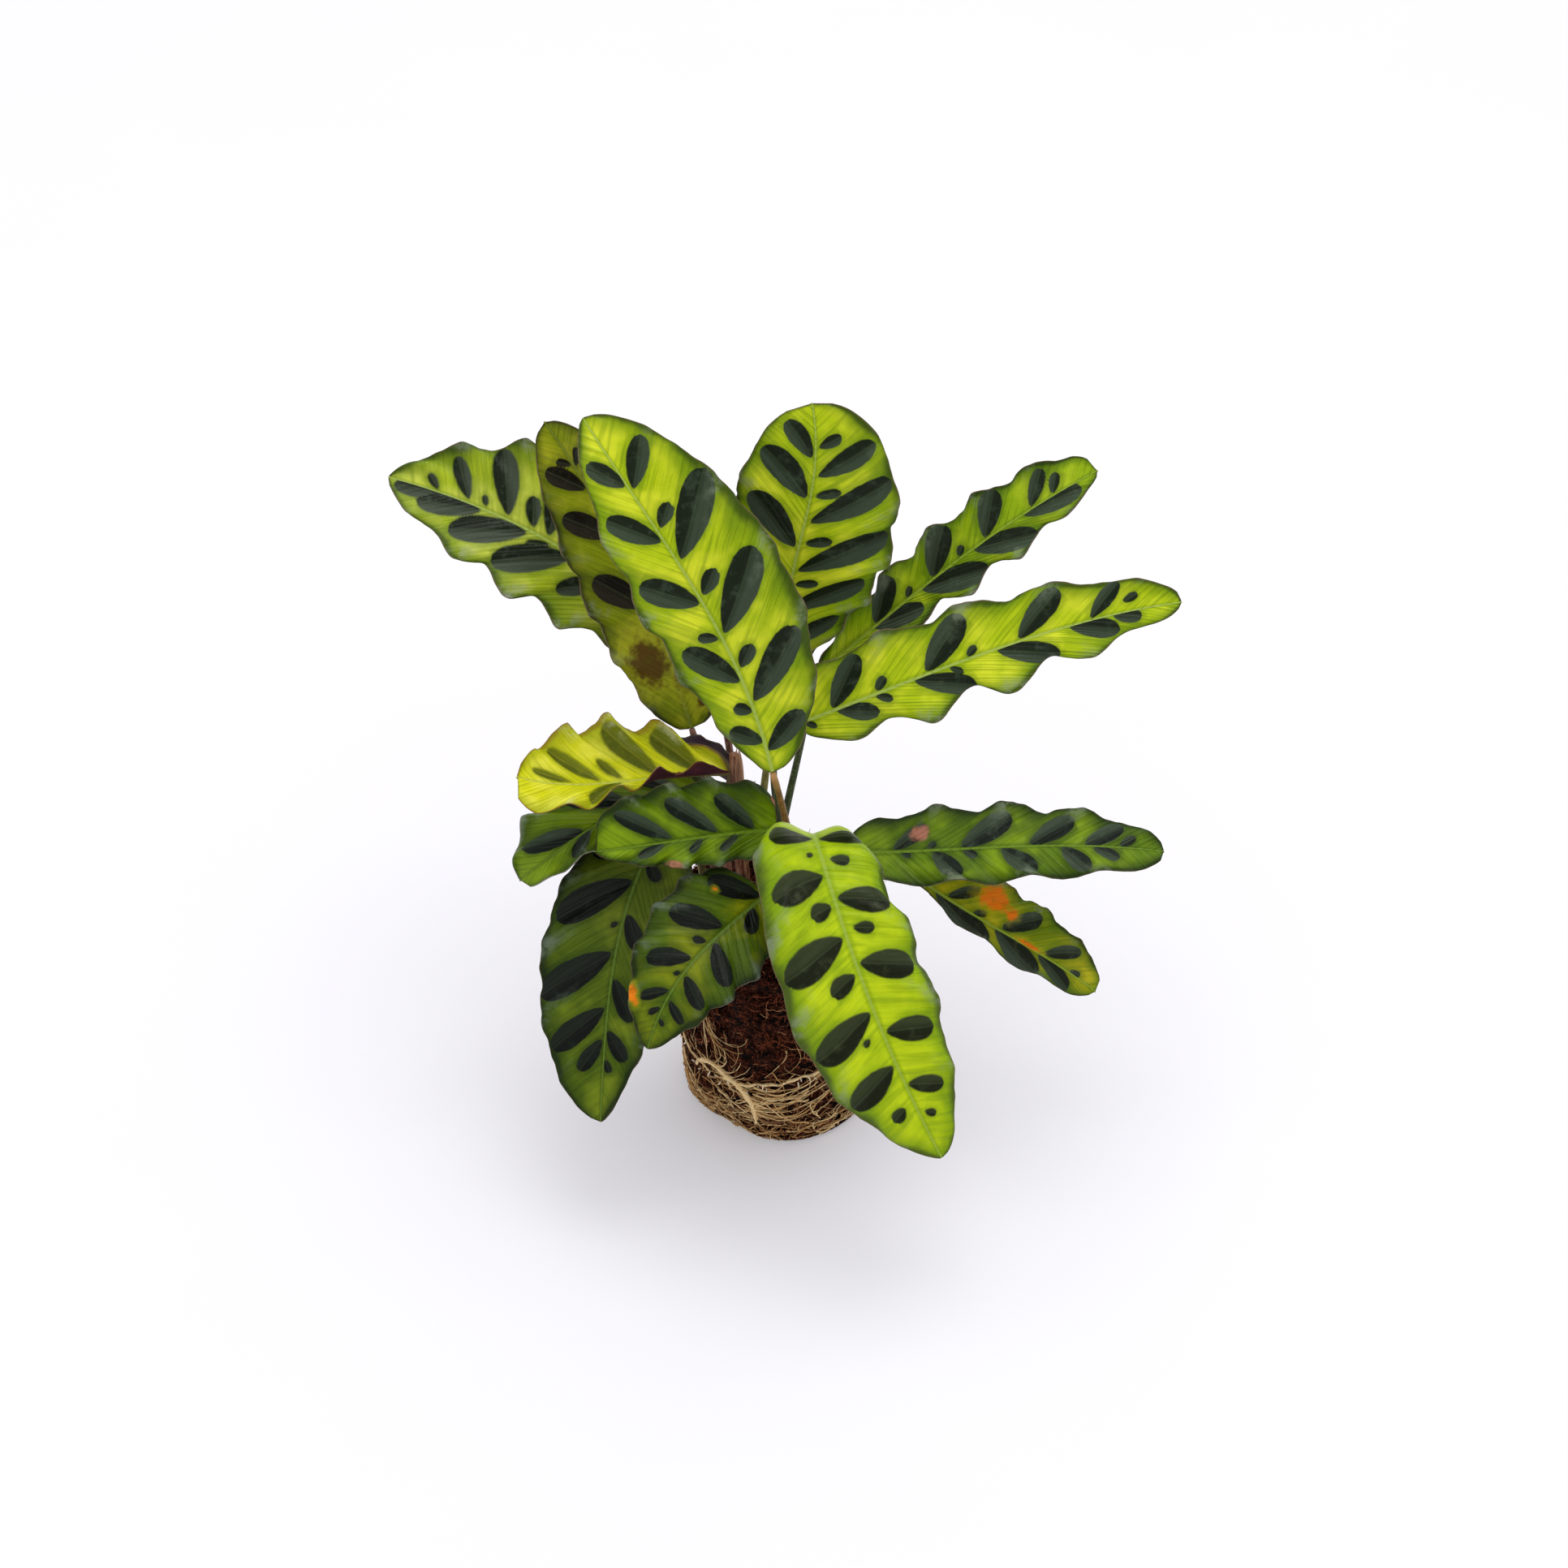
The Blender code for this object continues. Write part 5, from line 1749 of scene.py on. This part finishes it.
              ((0.03, 0.20, 0.8, 0.42), (0.30, 0.43, 0.8, 0.42), (0.52, 0.635, 0.75, 0.42),
               (0.70, 0.79, 0.7), (0.41, 0.45, 0.25, 0.55), (0.60, 0.63, 0.15, 0.6),
               (0.79, 0.84, 0.35, 0.5))),
         SHADED_TURNING, "leaf_shaded", Stalk((-12, -6), (-10, -8, 140), (1, -24, 152), OLIVE), "stalk_olive",
         patches=((0.79, 0.88, 3, 2), (0.2, 0.6, 1.2, 1.2))),
    Leaf("front", (15, -16, 152), (12, -25, 228), (18, -97, 190), (71, -132, 87), (0, 0.8, 0.6),
         Half(30, 0.50, 1.25, 42, 4, 2, 6.0, 0.00, 0.04,
              ((0.07, 0.10, 0.9, 0.3), (0.235, 0.275, 0.85, 0.38), (0.39, 0.43, 0.82, 0.50),
               (0.535, 0.58, 0.82, 0.54), (0.69, 0.72, 0.82, 0.54), (0.815, 0.845, 0.75, 0.56),
               (0.30, 0.32, 0.40, 0.6, 0.12), (0.46, 0.475, 0.42, 0.6, 0.12),
               (0.885, 0.90, 0.42, 0.75, 0.14)), 26),
         Half(39, 0.50, 1.6, 42, 4, 2, 6.0, 0.50, 0.05,
              ((0.07, 0.12, 0.85), (0.235, 0.262, 0.78, 0.36), (0.338, 0.378, 0.84, 0.40),
               (0.475, 0.520, 0.90, 0.42), (0.64, 0.690, 0.92, 0.43), (0.765, 0.810, 0.95, 0.50),
               (0.285, 0.295, 0.22, 0.6, 0.1), (0.405, 0.42, 0.38, 0.62, 0.06),
               (0.555, 0.575, 0.42, 0.62, 0.06), (0.69, 0.70, 0.30, 0.8, 0.18),
               (0.86, 0.875, 0.55, 0.9, 0.2)), 30),
         VIVID, "leaf_bright", Stalk((6, -5), (6, -5, 132), (15, -14, 142), OLIVE), "stalk_olive",
         (0, -0.8, 0.6), (), 0.95),
    Leaf("right_mid", (31, -10, 156), (70, -13, 157), (117, -15, 170), (172, -16, 162), (0, -0.35, 0.95),
         Half(19, 0.40, 0.8, 5, 5, 2, 4.4, 0.50, 0.09,
              ((0.14, 0.25, 0.6), (0.36, 0.52, 0.75, 0.42), (0.575, 0.715, 0.75, 0.42),
               (0.75, 0.87, 0.8, 0.42), (0.25, 0.28, 0.2, 0.6), (0.86, 0.91, 0.5, 0.5))),
         Half(17, 0.40, 0.6, 5, 5, 4, 4.3, 0.20, 0.00,
              ((0.27, 0.355, 0.85, 0.52), (0.485, 0.595, 0.82, 0.50), (0.675, 0.765, 0.87, 0.50),
               (0.17, 0.20, 0.18, 0.6), (0.365, 0.41, 0.25, 0.55), (0.775, 0.86, 0.45, 0.45))),
         DARK_AND_SHADED, "leaf_fresh", Stalk((14, 2), (14, 2, 150), (22, -9, 156), DARK), "stalk_dark",
         patches=((0.23, -0.42, 4, 3),)),
    Leaf("right_low", (55, 4, 136), (82, -7, 114), (115, -21, 110), (144, -38, 95), (0.3, -0.5, 0.80),
         Half(19, 0.45, 0.8, 10, 10, 2, 5.0, 0.80, 0.03,
              ((0.09, 0.25, 0.9, 0.42), (0.25, 0.36, 0.6), (0.52, 0.65, 0.8, 0.42), (0.73, 0.86, 0.8),
               (0.38, 0.44, 0.18, 0.5), (0.86, 0.91, 0.15, 0.6))),
         Half(10, 0.70, 1.7, -50, -40, 4, 3.4, 0.85, 0.00,
              ((0.20, 0.50, 0.9), (0.50, 0.75, 0.9), (0.71, 0.90, 0.8))),
         BLOTCHED, "leaf_fresh", Stalk((19, 10), (20, 10, 150), (44, 9, 146), DARK), "stalk_dark",
         patches=((0.43, -0.58, 6.5, 4.5), (0.53, -0.46, 2.5, 2.5), (0.26, -0.66, 2, 1.5),
                  (0.66, -0.05, 5, 1))),
    Leaf("curled", (-23, 25, 168), (-22, 28, 186), (-36, 28, 190), (-54, 28, 187), (0, 1, 0.1),
         Half(3, 0.50, 0.8, 10, 10, 1, 2.0, 0.10, 0.00), Half(15, 0.45, 0.7, 35, 20, 1, 2.0, 0.40, 0.00),
         ROLLED, "leaf_underside", Stalk((-23, 24), (-23, 24, 135), (-24, 25, 155), BROWN), "stalk_brown"),
)


def main() -> None:
    """Build the stage and the plant."""
    logging.basicConfig(level=logging.INFO, format="%(name)s %(message)s")
    Studio().build()
    for leaf in LEAVES:
        leaf.build()
    Shoot().build()
    ball = RootBall()
    ball.build()
    RootNet(ball).build()
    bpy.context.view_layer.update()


if __name__ == "__main__":
    main()
